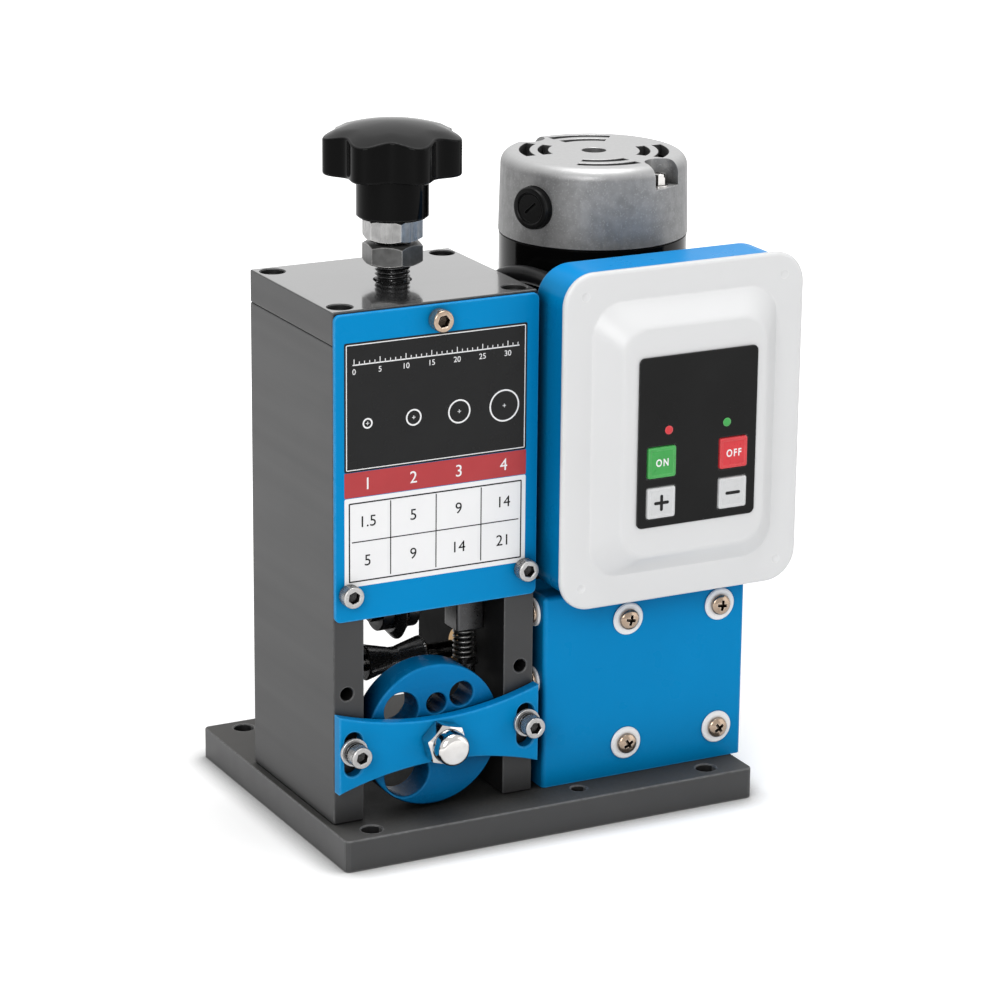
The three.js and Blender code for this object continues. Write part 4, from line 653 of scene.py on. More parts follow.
def sidePlate(name, node, outward):
    box = boxOf(node)
    size, deep, lip = box.size, box.size.y, plates["tapLip"]
    x = outward * (size.x / 2 - plates["tapInset"])
    thread = [(0, deep - plates["tapDepth"]), (0, deep - lip), (lip, deep)]
    holes = [(circle(plates["tap"], x, z - size.z / 2, 32), thread) for z in plates["tapHeights"]]
    shape = slab(roundRect(size.x, size.z, plates["corner"], 3), rounded(deep, plates["edge"]), holes)
    shaft = boxOf("feed_shaft").mid
    reach, facing = (size.x, toRight) if outward > 0 else (plates["leftBoreDepth"], toLeft)
    start = box.mid.x - outward * (size.x / 2 + over)
    bore = moved(bar(plates["shaftBore"], 0, reach + over), at(start, shaft.y, shaft.z) @ facing)
    plate = piece(name, carved(moved(shape, onBack(box)), bore), "frameCoat", stands=node)
    # the inner faces take the darker copy: painted shade inside the tower
    facesToward(plate, (-outward, 0, 0), "frameInsideShade")


def topPlate():
    box = boxOf("top_plate")
    size, thick = box.size, box.size.z
    step, wide = thick - plates["boreDepth"], plates["bore"] - plates["tap"]
    tapLip, boreLip = plates["tapLip"], plates["boreLip"]
    bore = [(tapLip, 0), (0, tapLip), (0, step), (wide, step), (wide, thick - boreLip),
            (wide + boreLip, thick)]
    x, y = size.x / 2 - plates["boreInsetX"], size.y / 2 - plates["boreInsetY"]
    holes = [(circle(plates["tap"], sx * x, sy * y), bore) for sx in (-1, 1) for sy in (-1, 1)]
    holes.append(throughHole(plates["spindleBore"], thick, sides=64))
    shape = slab(roundRect(size.x, size.y, plates["corner"], 3), rounded(thick, plates["edge"]), holes)
    plate = piece("topPlate", moved(shape, onBottom(box)), "frameCoat", stands="top_plate")
    facesToward(plate, (0, 0, 1), "topCoat")
    # the underside takes the darker copy: painted shade
    facesToward(plate, (0, 0, -1), "frameInsideShade")


basePlate()
sidePlate("leftSidePlate", "left_side_plate", -1)
sidePlate("rightSidePlate", "right_side_plate", 1)
topPlate()
print("frame plates made")

# socket cap screws; the crown is how far in from the head's radius, and how far down from its top

capScrew = {
    "head": 5, "height": 6, "shank": 3, "bevel": 0.4, "ridges": 36, "ridge": 0.07, "ridgeEnd": 1.1,
    "crown": ((0.03, 1), (0.1, 0.5), (0.4, 0.12), (0.7, 0)),
    "flats": 5, "socket": 3.4, "mouth": 0.3, "drill": 2.2, "drillTip": 1,
    "topTurn": 13,
}


def knurled(angle):
    return capScrew["head"] - capScrew["ridge"] * (1 - math.cos(capScrew["ridges"] * angle))


def capScrewShape(length):
    head, top, shank, bevel = (capScrew[key] for key in ("head", "height", "shank", "bevel"))
    socket, mouth = hexReach(capScrew["flats"]), capScrew["mouth"]
    deep = top - capScrew["socket"]
    levels = [(0, -length), (shank - bevel, -length), (shank, bevel - length), (shank, 0), (head - bevel, 0),
              (knurled, bevel), (knurled, top - capScrew["ridgeEnd"])]
    levels += [(head - inward, top - down) for inward, down in capScrew["crown"]]
    levels += [(lambda angle: socket(angle) + mouth, top), (socket, top - mouth), (socket, deep),
               (capScrew["drill"], deep - 0.1), (0, deep - capScrew["drillTip"])]
    return spun(levels, 72)


def frontScrew(name, node, look, turn):
    box, head = boxOf(node), capScrew["height"]
    place = at(box.mid.x, box.low.y + head, box.mid.z) @ toFront @ turned(turn)
    screw = piece(name, moved(capScrewShape(box.size.y - head), place), look, stands=node)
    # the head's sides take the darker copy and its front the lighter steel: painted light and shade
    if look == "screwShadedSide":
        facesToward(screw, (0, -1, 0), "screwSteel", 0.3)


def topScrew(number):
    node = f"top_plate_screw_{number}"
    box, head = boxOf(node), capScrew["height"]
    place = at(box.mid.x, box.mid.y, box.high.z - head) @ turned(capScrew["topTurn"] * number)
    shape = moved(capScrewShape(box.size.z - head), place)
    piece(f"topPlateScrew{number}", shape, "blackOxide", stands=node)


for number in (1, 2, 3, 4):
    topScrew(number)
for number, look, turn in ((1, "warmNickel", 8), (2, "screwShadedSide", 21), (3, "screwShadedSide", -14)):
    frontScrew(f"frontCoverScrew{number}", f"front_cover_screw_{number}", look, turn)
print("top plate and cover screws made")

# front cover: a blue sheet with a hole for each of its three screws

cover = {"corner": 3, "edge": 0.45, "hole": 3.1, "lip": 0.2}


def frontCover():
    box = boxOf("front_cover")
    size, thick = box.size, box.size.y
    spots = [boxOf(f"front_cover_screw_{number}").mid - box.mid for number in (1, 2, 3)]
    holes = [throughHole(cover["hole"], thick, spot.x, spot.z, cover["lip"], 32) for spot in spots]
    shape = slab(roundRect(size.x, size.z, cover["corner"], 8), rounded(thick, cover["edge"]), holes)
    piece("frontCover", moved(shape, onBack(box)), "blueEnamel", stands="front_cover")


frontCover()
print("front cover made")

# guide bracket: its long edges are arcs, wide at the ends and narrow at the waist

bracket = {"edge": 0.8, "lip": 0.5, "endHalf": 18.5, "waistHalf": 10.2, "pivotHole": 5.1,
           "slotWide": 8.5, "slotTall": 21, "slotCorner": 4.249, "slotInset": 6.8}


def bracketPiece():
    box = boxOf("guide_bracket")
    size, half, waist = box.size, box.size.x / 2, bracket["waistHalf"]
    sag = bracket["endHalf"] - waist
    bend = (half * half + sag * sag) / (2 * sag)
    edge = lambda x: waist + bend - math.sqrt(bend * bend - x * x)
    steps = [-half + size.x * i / 40 for i in range(41)]
    outline = [(x, -edge(x)) for x in steps] + [(x, edge(x)) for x in reversed(steps)]
    lip = mirrored([(bracket["lip"], 0), (0, bracket["lip"])], size.y)
    slot = bracket["slotWide"], bracket["slotTall"], bracket["slotCorner"], 10
    holes = [(roundRect(*slot, side * (half - bracket["slotInset"])), lip) for side in (-1, 1)]
    holes.append((circle(bracket["pivotHole"]), lip))
    shape = slab(outline, rounded(size.y, bracket["edge"]), holes)
    piece("guideBracket", moved(shape, onBack(box)), "blueEnamel", "guide", "guide_bracket")


# guide drum: a disc with a cable hole of each size, as radius, x and z from the pivot

drum = {"edge": 1.0, "lip": ((0.9, 0), (0.35, 0.3), (0, 0.9)), "pivotHole": 5.1,
        "cableHoles": ((10.9, -13.2, -16.7), (8.3, -16.0, 14.2), (4.8, 1.6, 14.8), (5.7, 14.2, 17.4))}


def drumPiece():
    box = boxOf("guide_drum")
    thick = box.size.y
    lip = mirrored(drum["lip"], thick)
    holes = [(circle(radius, x, z, 64), lip) for radius, x, z in drum["cableHoles"]]
    holes.append((circle(drum["pivotHole"]), lip))
    shape = slab(circle(box.size.x / 2, sides=128), rounded(thick, drum["edge"]), holes)
    # the drum takes the darker copy of the blue: painted shade
    piece("guideDrum", moved(shape, onBack(box)), "drumEnamelShaded", "drum", "guide_drum")


# hexagon nuts: a chamfer cuts the corners off where they stand out past the inner circle

nut = {"slope": 0.55, "inner": 0.35, "collar": 0.55}
acorn = {"flats": 17.5, "turn": 45, "bore": 5.1, "inner": 0.3, "hexTall": 8, "tall": 16.5,
         "neck": ((8.05, 0.25), (7.9, 0.7)), "dome": 7.9, "domeFrom": 12, "bend": 3.4, "bendDrop": 0.35,
         "crown": ((3.2, 0.12), (1.4, 0.02), (0, 0))}


def cornersOff(hexagon, inner, level, slope):
    return lambda angle: level + slope * max(0, hexagon(angle) - inner)


def hexNutShape(flats, height, bore, turn=0):
    hexagon, inner = hexReach(flats, turn), flats / 2 - nut["inner"]
    slope, mouth = nut["slope"], nut["collar"]
    return spun([(bore + mouth, 0), (inner, 0), (hexagon, cornersOff(hexagon, inner, 0, slope)),
                 (hexagon, cornersOff(hexagon, inner, height, -slope)), (inner, height),
                 (bore + mouth, height), (bore, height - mouth), (bore, mouth)], 96, True, turn)


def acornShape():
    flats, low, tall, dome, bend = (acorn[key] for key in ("flats", "hexTall", "tall", "dome", "bend"))
    turn, inner, slope = math.radians(acorn["turn"]), flats / 2 - acorn["inner"], nut["slope"]
    hexagon = hexReach(flats, turn)
    levels = [(acorn["bore"], 0), (inner, 0), (hexagon, cornersOff(hexagon, inner, 0, slope)),
              (hexagon, cornersOff(hexagon, inner, low, -slope)), (inner, low)]
    levels += [(radius, low + z) for radius, z in acorn["neck"]] + [(dome, acorn["domeFrom"])]
    bendTop = tall - acorn["bendDrop"]
    for i in range(1, 9):
        angle = pi / 2 * i / 9
        levels.append((dome - bend * (1 - math.cos(angle)), bendTop - bend * (1 - math.sin(angle))))
    levels += [(radius, tall - down) for radius, down in acorn["crown"]]
    return spun(levels, 96, False, turn)


# flat and split washers under the bracket's screws; their sections are radius and height

washer = {
    "flat": ((3.1, 0.1), (3.3, 0), (6.2, 0), (6.4, 0.2), (6.4, 1.4), (6.2, 1.6), (3.3, 1.6), (3.1, 1.5)),
    "split": ((3.25, 0.1), (3.4, 0), (5.05, 0), (5.2, 0.12), (5.2, 1.33), (5.05, 1.45), (3.4, 1.45),
              (3.25, 1.33)),
    "splitFrom": 1.62, "splitRise": 0.5, "splitGap": 8, "splitTurn": 40,
}


def washers(name, node, turn):
    place = onBack(boxOf(node))
    piece(name + "Flat", moved(spun(washer["flat"], 72, True), place), "screwSteel", stands=node)
    points, rings = [], []
    steps, gap = 60, washer["splitGap"]
    for i in range(steps + 1):
        angle = math.radians(washer["splitTurn"] + turn + gap / 2 + (360 - gap) * i / steps)
        lift = washer["splitFrom"] + washer["splitRise"] * i / steps
        rings.append([len(points) + k for k in range(len(washer["split"]))])
        points.extend(Vector((r * math.cos(angle), r * math.sin(angle), lift + z))
                      for r, z in washer["split"])
    piece(name + "Split", moved((points, skin(rings)), place), "darkSteel")


pivotBolt = {"flats": 17, "head": 6.4, "inner": 8.1, "under": 7.9, "bevel": 0.4, "shank": 5, "tip": 0.5}


def pivotPieces():
    box = boxOf("drum_acorn_nut")
    piece("acornNut", moved(acornShape(), onBack(box)), "brightSteel", "guide", "drum_acorn_nut")
    box = boxOf("drum_pivot_bolt")
    head, shank, tip, inner = (pivotBolt[key] for key in ("head", "shank", "tip", "inner"))
    hexagon = hexReach(pivotBolt["flats"])
    length = box.size.y - head
    shape = spun([(0, -length), (shank - tip, -length), (shank, tip - length), (shank, 0),
                  (pivotBolt["under"], 0), (hexagon, pivotBolt["bevel"]),
                  (hexagon, cornersOff(hexagon, inner, head, -nut["slope"])), (inner, head), (0, head)], 96)
    place = at(box.mid.x, box.high.y - head, box.mid.z) @ toBack
    piece("pivotBolt", moved(shape, place), "brightSteel", "guide", "drum_pivot_bolt")


bracketPiece()
drumPiece()
for side, turn in (("left", 17), ("right", -9)):
    frontScrew(f"bracketScrew{side.title()}", f"bracket_screw_{side}", "screwShadedSide", turn)
    washers(f"bracketWasher{side.title()}", f"bracket_washer_{side}", turn)
pivotPieces()
print("cable guide made")

# star knob: seven lobes round a hub, with a low dome on top

knob = {
    "lobes": 7, "firstTip": -91.7, "tip": 31.5, "valley": 26, "edge": 1.3, "lobeHeight": 16.3,
    "hub": 16.3, "hubHeight": 19.8, "hubBevel": 0.8, "hubCove": 1.2, "bore": 8.1, "boreDepth": 27,
    "dome": 7, "domeReach": 33.5, "domeSink": 0.35, "domeShares": (0.85, 0.7, 0.55, 0.4, 0.25, 0.12),
}


def knobShape():
    hub, low, edge, bevel, cove = (knob[key] for key in ("hub", "hubHeight", "edge", "hubBevel", "hubCove"))
    swing = math.radians(knob["firstTip"])
    shoulder = low + knob["lobeHeight"]
    wave = lambda angle: (1 + math.cos(knob["lobes"] * (angle - swing))) / 2
    reach = lambda angle: knob["valley"] + (knob["tip"] - knob["valley"]) * wave(angle)
    dome = lambda radius: shoulder + knob["dome"] * (1 - (radius / knob["domeReach"]) ** 2)
    levels = [(0, 0), (hub - bevel, 0), (hub, bevel), (hub, low - cove), (hub + cove, low)]
    for i in range(5):
        bend = pi / 2 * i / 4
        levels.append((lambda a, s=math.sin(bend): reach(a) - edge * (1 - s),
                       low + edge * (1 - math.cos(bend))))
    for i in range(6):
        bend = pi / 2 * i / 5
        drop = knob["domeSink"] + edge * (1 - math.sin(bend))
        levels.append((lambda a, c=math.cos(bend): reach(a) - edge * (1 - c),
                       lambda a, d=drop: dome(reach(a)) - d))
    for share in knob["domeShares"]:
        ring = lambda a, s=share: (reach(a) - edge) * s
        levels.append((ring, lambda a, r=ring: dome(r(a))))
    levels.append((0, shoulder + knob["dome"]))
    return spun(levels, 196, turn=swing)


# spindle: a threaded rod, and at its foot a collar as radius and height; two nuts run on it

spindle = {
    "radius": 8, "pitch": 2, "depth": 1.15, "rows": 7, "endDrop": 0.3, "fade": 0.6, "threadFrom": 4.2,
    "collar": ((0, 0), (9.6, 0), (10, 0.4), (10, 3.6), (9.6, 4), (6.5, 4), (6.5, 4.6), (0, 4.6)),
    "nutFlats": 24, "nutBore": 8.1, "jamTurn": 20.6, "lockTurn": 22.6,
}


def threadedRod(low, high):
    radius, pitch, depth = spindle["radius"], spindle["pitch"], spindle["depth"]
    core = radius - depth - spindle["endDrop"]
    levels = [(0, low), (core, low)]
    count = round((high - low) / pitch * spindle["rows"])
    for i in range(1, count):
        z = low + (high - low) * i / count
        fade = min(1, (z - low) / pitch, (high - z) / pitch)

        def reach(angle, z=z, fade=fade):
            place = (z / pitch - angle / (2 * pi)) % 1
            groove = max(0, min(1, 1.5 * (1 - abs(2 * place - 1)) - 0.12))       # flat crests and roots
            return radius - depth * groove - (1 - fade) * spindle["fade"]

        levels.append((reach, z))
    return spun(levels + [(core, high), (0, high)], 40)


def spindlePieces():
    box = boxOf("depth_spindle")
    x, y, foot = box.mid.x, box.mid.y, box.low.z
    thread = threadedRod(foot + spindle["threadFrom"], box.high.z)
    collar = spun([(radius, foot + z) for radius, z in spindle["collar"]])
    piece("depthSpindle", moved(together(thread, collar), at(x, y, 0)), "darkSteel", "depth_screw",
          "depth_spindle", crease=25)
    # the lock nut takes the darker copy of the nut steel: painted shade
    for name, node, body, look, turn in (
            ("knobJamNut", "knob_jam_nut", "depth_screw", "nutSteel", spindle["jamTurn"]),
            ("spindleLockNut", "spindle_lock_nut", "lock_nut", "shadedNutSteel", spindle["lockTurn"])):
        box = boxOf(node)
        shape = hexNutShape(spindle["nutFlats"], box.size.z, spindle["nutBore"], math.radians(turn))
        piece(name, moved(shape, at(x, y, box.low.z)), look, body, node)
    shape = carved(knobShape(), bar(knob["bore"], -over, knob["boreDepth"]))
    place = at(x, y, boxOf("depth_knob").low.z)
    piece("depthKnob", moved(shape, place), "blackPlastic", "depth_screw", "depth_knob", crease=40)


spindlePieces()
print("depth screw made")

# cutting head: the carriage holds the cutter between two cheeks; two bosses slide on the guide bolts

carriage = {
    "tall": 24, "corner": 1, "edge": 0.6, "armWide": 22, "armSink": 2,
    "cheek": 11, "cheekThick": 6, "cheekEdge": 0.5, "cheekOffset": 6.3,
    "bossX": 27, "bossY": 20, "bossSide": 14, "bossCorner": 1.5, "bossEdge": 0.5, "bossTall": 18,
    "bossDrop": 16, "boltBore": 3.3, "boltFrom": -20, "boltTo": 30,
    "slotWide": 6.6, "slotLong": 32.6, "slotTall": 26.3, "slotDrop": 10,
    "neck": {"wide": 16.6, "corner": 8.29, "back": 21.7, "tall": 10, "drop": 8},
    "pocket": {"wide": 20.6, "corner": 10.29, "back": 19.7, "tall": 4.6, "drop": 12.6},
    "openLong": 60,
}


def carriagePiece():
    box, size = boxOf("cutter_carriage"), carriage
    x, y, top = box.mid.x, box.mid.y, box.high.z
    bottom, axle = top - size["tall"], boxOf("cutter_wheel").mid.z
    block = slab(roundRect(box.size.x, box.size.y, size["corner"], 3), rounded(size["tall"], size["edge"]))
    body = moved(block, at(x, y, bottom))
    thick = size["cheekThick"]
    cheek = slab(circle(size["cheek"], sides=64), rounded(thick, size["cheekEdge"]))
    arm = slab(roundRect(thick, size["armWide"], 0.3, 2), rounded(bottom - axle + size["armSink"], 0.1))
    for side in (-1, 1):
        middle = x + side * size["cheekOffset"]
        placed = moved(cheek, at(middle - thick / 2, y, axle) @ toRight)
        body = carved(body, moved(arm, at(middle, y, axle)), placed, way="UNION")
    bossOutline = roundRect(size["bossSide"], size["bossSide"], size["bossCorner"], 4)
    boss = slab(bossOutline, rounded(size["bossTall"], size["bossEdge"]))
    for side in (1, -1):
        bossX, bossY = x + side * size["bossX"], y - side * size["bossY"]
        body = carved(body, moved(boss, at(bossX, bossY, bottom - size["bossDrop"])), way="UNION")
        bolt = bar(size["boltBore"], size["boltFrom"], size["boltTo"])
        body = carved(body, moved(bolt, at(bossX, bossY, bottom)))
    slot = plain(roundRect(size["slotWide"], size["slotLong"], 0.3, 2), 0, size["slotTall"])
    cuts = [moved(slot, at(x, y, axle - size["slotDrop"]))]
    for cut in (size["neck"], size["pocket"]):         # the seat of the spindle's collar, open to the back
        outline = roundRect(cut["wide"], size["openLong"], cut["corner"], 12, 0, cut["back"])
        cuts.append(moved(plain(outline, 0, cut["tall"]), at(x, y, top - cut["drop"])))
    piece("cutterCarriage", carved(body, *cuts), "milledSteel", "carriage", "cutter_carriage")


# cutter wheel and its axle; the half profile runs from the bore to the cutting edge

cutter = {"half": ((4.1, 0.3), (4.5, 0), (12.2, 0), (12.8, 0.15)), "edge": 15.95, "edgeHalf": 0.05}
axlePin = {"head": 3, "shank": 4, "bevel": 0.4, "flats": 5, "socket": 1.5,
           "rim": ((6.2, 0), (6.5, 0.3), (6.5, 2.6), (6.1, 3))}


def cutterPieces():
    box = boxOf("cutter_wheel")
    thick = box.size.x
    half = [*cutter["half"], (cutter["edge"], thick / 2 - cutter["edgeHalf"])]
    shape = spun(mirrored(half, thick), 96, True)
    place = at(box.low.x, box.mid.y, box.mid.z) @ toRight
    piece("cutterWheel", moved(shape, place), "darkSteel", "cutter", "cutter_wheel")
    box = boxOf("cutter_axle")
    head, shank, bevel, socket = (axlePin[key] for key in ("head", "shank", "bevel", "socket"))
    key, length = hexReach(axlePin["flats"]), box.size.x - head
    levels = [(0, -length), (shank - bevel, -length), (shank, bevel - length), (shank, 0), *axlePin["rim"],
              (key, head), (key, head - socket), (0, head - socket - 0.1)]
    place = at(box.low.x + head, box.mid.y, box.mid.z) @ toLeft
    piece("cutterAxle", moved(spun(levels, 72), place), "darkSteel", "carriage", "cutter_axle")


# guide bolts with a washer face, and the return springs round them

guideBolt = {"flats": 5, "socket": 3.2, "shank": 3, "tip": 0.5, "headFrom": ((4.5, 0), (4.9, 0.4)),
             "ridgeFrom": 1, "ridgeTo": 5.9, "flange": ((6.2, 6), (6.4, 6.2), (6.4, 7.3), (6.2, 7.5))}
returnSpring = {"wire": 0.7, "mean": 4.7, "turns": 6, "steps": 32}


def guideBoltPiece(side):
    node = f"guide_bolt_{side}"
    box = boxOf(node)
    key, shank, tip, tall = hexReach(guideBolt["flats"]), guideBolt["shank"], guideBolt["tip"], box.size.z
    levels = [(0, guideBolt["socket"]), (key, guideBolt["socket"]), (key, 0), *guideBolt["headFrom"],
              (knurled, guideBolt["ridgeFrom"]), (knurled, guideBolt["ridgeTo"]), *guideBolt["flange"],
              (shank, guideBolt["flange"][-1][1]), (shank, tall - tip), (shank - tip, tall), (0, tall)]
    piece(f"guideBolt{side.title()}", moved(spun(levels, 72), onBottom(box)), "darkSteel", stands=node)


def returnSpringPiece(side):
    node = f"return_spring_{side}"
    box = boxOf(node)
    wire, mean, turns = returnSpring["wire"], returnSpring["mean"], returnSpring["turns"]
    count, line = turns * returnSpring["steps"], []
    for i in range(count + 1):
        angle = 2 * pi * turns * i / count
        rise = wire + (box.size.z - 2 * wire) * i / count
        line.append(Vector((mean * math.cos(angle), mean * math.sin(angle), rise)))
    spring = piece(f"returnSpring{side.title()}", moved(tube(line, wire, 12), onBottom(box)), "springSteel",
                   body=None, stands=node, even=False)
    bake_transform(spring)


carriagePiece()
cutterPieces()
for side in ("left", "right"):
    guideBoltPiece(side)
    returnSpringPiece(side)
print("cutting head made")

# feed: the shaft, the roller as radius, tooth depth and height of half its profile, and the bushings

feed = {
    "shaftEnd": ((0, 0), (3.6, 0), (4, 0.4)), "teeth": 40,
    "rollerHalf": ((4.1, 0, 0.3), (4.5, 0, 0), (7.9, 0, 0), (8.45, 0, 0.6), (8.3, 0.5, 1.4),
                   (5.5, 0.5, 12.6), (5.2, 0.25, 13.2)),
    "bush": 7, "bushBore": 4.3, "bushBevel": 0.4,
    "flange": ((7, -1.6), (8.7, -1.6), (9, -1.4), (9, -0.3), (8.7, 0)),
}


def toothed(radius, depth):
    return lambda angle: radius - depth * (0.5 - 0.5 * math.cos(feed["teeth"] * angle))


def feedPieces():
    box = boxOf("feed_shaft")
    y, z = box.mid.y, box.mid.z
    shape = spun(mirrored(feed["shaftEnd"], box.size.x), 48)
    piece("feedShaft", moved(shape, at(box.low.x, y, z) @ toRight), "brightSteel", "feed", "feed_shaft")
    box = boxOf("feed_roller")
    half = [(toothed(radius, depth), height) for radius, depth, height in feed["rollerHalf"]]
    shape = spun(mirrored(half, box.size.x), 160, True)
    place = at(box.low.x, box.mid.y, box.mid.z) @ toRight
    piece("feedRoller", moved(shape, place), "darkSteel", "feed", "feed_roller", crease=20)
    bore, bevel, outer = feed["bushBore"], feed["bushBevel"], feed["bush"]
    for side, facing in (("left", toRight), ("right", toLeft)):
        node = f"shaft_bushing_{side}"
        bush = boxOf(node)
        length = bush.size.x
        ring = spun([(bore, bevel - length), (bore + bevel, -length), (outer - bevel, -length),
                     (outer, bevel - length), *feed["flange"], (bore + bevel, 0), (bore, -bevel)], 64, True)
        x = bush.high.x if side == "left" else bush.low.x
        place = at(x, box.mid.y, box.mid.z) @ facing
        piece(f"shaftBushing{side.title()}", moved(ring, place), "bronze", stands=node)


feedPieces()
print("feed made")

# gearbox housing: a cast block with a foot that takes the lead, a pocket for the worm wheel and a shaft bore

gearbox = {
    "corner": 4, "edge": 1.2, "below": 4, "footX": 12.7, "footY": 11.5, "foot": 6.2, "footBevel": 0.6,
    "well": 4.3, "wellDepth": 10, "pocketX": 63.9, "pocketY": -10, "pocketWide": 20, "pocketLong": 59,
    "pocketFloor": 20, "pocketTall": 90, "shaftBore": 4.3, "shaftLong": 80, "shaftGap": 0.3,
}


def gearboxPiece():
    box = boxOf("gearbox_housing")
    below, floor = gearbox["below"], box.low.z
    tall = box.size.z - below                # the block; the foot's boss stands up past it
    block = slab(roundRect(box.size.x, box.size.y, gearbox["corner"]), rounded(tall, gearbox["edge"]))
    foot, bevel = gearbox["foot"], gearbox["footBevel"]
    top = box.size.z
    boss = spun([(0, 0), (foot, 0), (foot, top - bevel), (foot - bevel, top), (0, top)], 48)
    place = at(gearbox["footX"], gearbox["footY"], floor)
    shape = carved(moved(block, onBottom(box)), moved(boss, place), way="UNION")
    well = moved(bar(gearbox["well"], top - gearbox["wellDepth"], top + below), place)
    pocket = plain(roundRect(gearbox["pocketWide"], gearbox["pocketLong"], 2, 3), 0, gearbox["pocketTall"])
    pocket = moved(pocket, at(gearbox["pocketX"], gearbox["pocketY"], floor + gearbox["pocketFloor"]))
    wheel, shaftEnd = boxOf("worm_wheel").mid, boxOf("feed_shaft").high.x + gearbox["shaftGap"]
    shaft = bar(gearbox["shaftBore"], -gearbox["shaftLong"], shaftEnd - wheel.x)
    shaft = moved(shaft, at(wheel.x, wheel.y, wheel.z) @ toRight)
    piece("gearboxHousing", carved(shape, well, pocket, shaft), "castIron", stands="gearbox_housing")


# motor barrel: a drawn shell, open at the top, with the magnets' ring inside

barrel = {"radius": 43.7, "bore": 4.8, "bevel": 0.8, "rim": 0.6, "wall": 4, "floor": 5, "magnets": 28,
          "magnetTop": 103.7}


def barrelPiece():
    box = boxOf("motor_barrel")
    radius, bore, bevel, rim = (barrel[key] for key in ("radius", "bore", "bevel", "rim"))
    floor, magnets, step = barrel["floor"], barrel["magnets"], barrel["magnetTop"]
    inner, tall = radius - barrel["wall"], box.size.z
    levels = [(bore, 0), (radius - bevel, 0), (radius, bevel), (radius, tall - rim), (radius - rim, tall),
              (inner, tall), (inner, step), (magnets, step), (magnets, floor), (bore, floor)]
    piece("motorBarrel", moved(spun(levels, 160, True), onBottom(box)), "blackEnamel", stands="motor_barrel")


# end cap: a cast cup with air slots, two screw notches and the seats of the brush caps;
# a brush bore and seat are each a radius, and where they start and end from the motor's axis

endCap = {
    "radius": 44, "topRadius": 43.2, "fillet": 6, "foot": 0.4, "hollow": 40, "roof": 5, "sink": 0.2,
    "notchTurn": -66.7, "notchAt": 40, "notch": 8.5, "notchWall": 11.5, "notchDepth": 11.4, "mouthLong": 20,
    "slotTurn": 39.2, "slotRadii": (23.6, 32.2), "slotWide": 4.9, "slotHalf": 26, "slotDepth": 8,
    "centre": 5.7, "brushTurn": 23.3, "brushBore": (7.3, 36, 48), "brushSeat": (10.1, 42.4, 50),
    "screwAt": 38, "screwFlats": 5.6, "screwHead": ((0, 0), (4.2, 0), (4.2, 0.7), (3.4, 0.8)),
    "screwTall": 6, "screwKey": 0.9, "screwEdge": 0.3, "screwTop": 2.5,
    "cut": 0.9, "cutLong": 10, "cutFrom": 4.4, "cutTo": 7.4,
}


def arcSlot(radius, middle):
    half, steps = endCap["slotHalf"], 14
    angles = [math.radians(middle - half + 2 * half * i / steps) for i in range(steps + 1)]
    outer, inner = radius + endCap["slotWide"] / 2, radius - endCap["slotWide"] / 2
    return ([(outer * math.cos(a), outer * math.sin(a)) for a in angles]
            + [(inner * math.cos(a), inner * math.sin(a)) for a in reversed(angles)])


def endCapPiece():
    box, axis = boxOf("motor_end_cap"), boxOf("motor_barrel").mid
    tall, top, fillet, foot = box.size.z, endCap["topRadius"], endCap["fillet"], endCap["foot"]
    turns = (endCap["notchTurn"], endCap["notchTurn"] + 180)
    notchFloor = tall - endCap["notchDepth"]
    levels = [(0, 0), (endCap["radius"] - foot, 0), (endCap["radius"], foot), (top, tall - fillet)]
    for i in range(1, 9):
        bend = pi / 2 * i / 8
        levels.append((top - fillet * (1 - math.cos(bend)), tall - fillet * (1 - math.sin(bend))))
    shape = spun(levels + [(0, tall)], 160)
    hollow = bar(endCap["hollow"], -over, tall - endCap["roof"], 96)
    for turn in turns:
        spot = turned(turn) @ Vector((endCap["notchAt"], 0, 0))
        hollow = carved(hollow, moved(bar(endCap["notchWall"], -2 * over, tall), at(*spot)))
    shape = carved(shape, hollow)
    sink = endCap["sink"]
    rim = [(0, tall - endCap["slotDepth"]), (0, tall - sink), (-sink, tall), (-sink, tall + over)]
    slots = [slab(arcSlot(radius, turn + side * endCap["slotTurn"]), rim)
             for turn in turns for side in (-1, 1) for radius in endCap["slotRadii"]]
    shape = carved(shape, together(slab(circle(endCap["centre"]), rim), *slots))
    for turn in turns:                       # each notch is round, and open to the rim
        notch = bar(endCap["notch"], notchFloor, tall + 2 * over, 64)
        mouthLong = endCap["mouthLong"]
        mouth = roundRect(mouthLong, 2 * endCap["notch"], 0.01, 1, mouthLong / 2)
        notch = carved(notch, plain(mouth, notchFloor, tall + 2 * over), way="UNION")
        shape = carved(shape, moved(notch, turned(turn) @ at(endCap["notchAt"], 0, 0)))
    height = boxOf("brush_cap_right").mid.z - box.low.z
    for end in (0, 180):
        place = turned(endCap["brushTurn"] + end) @ at(0, 0, height) @ toRight
        bore, ledge = bar(*endCap["brushBore"]), bar(*endCap["brushSeat"], 64)
        shape = carved(shape, moved(bore, place), moved(ledge, place))
    seat = at(axis.x, axis.y, box.low.z)
    piece("motorEndCap", moved(shape, seat), "castAluminium", stands="motor_end_cap", crease=40)
    high, key = endCap["screwTall"], hexReach(endCap["screwFlats"])
    screw = spun([*endCap["screwHead"], (key, endCap["screwKey"]), (key, high - endCap["screwEdge"]),
                  (endCap["screwTop"], high), (0, high)], 48)
    cut = roundRect(endCap["cutLong"], endCap["cut"], 0.01, 1)
    screw = carved(screw, plain(cut, endCap["cutFrom"], endCap["cutTo"]))
    for i, turn in enumerate(turns):
        place = seat @ turned(turn) @ at(endCap["screwAt"], 0, notchFloor)
        piece(f"endCapScrew{i + 1}", moved(screw, place), "brightSteel")


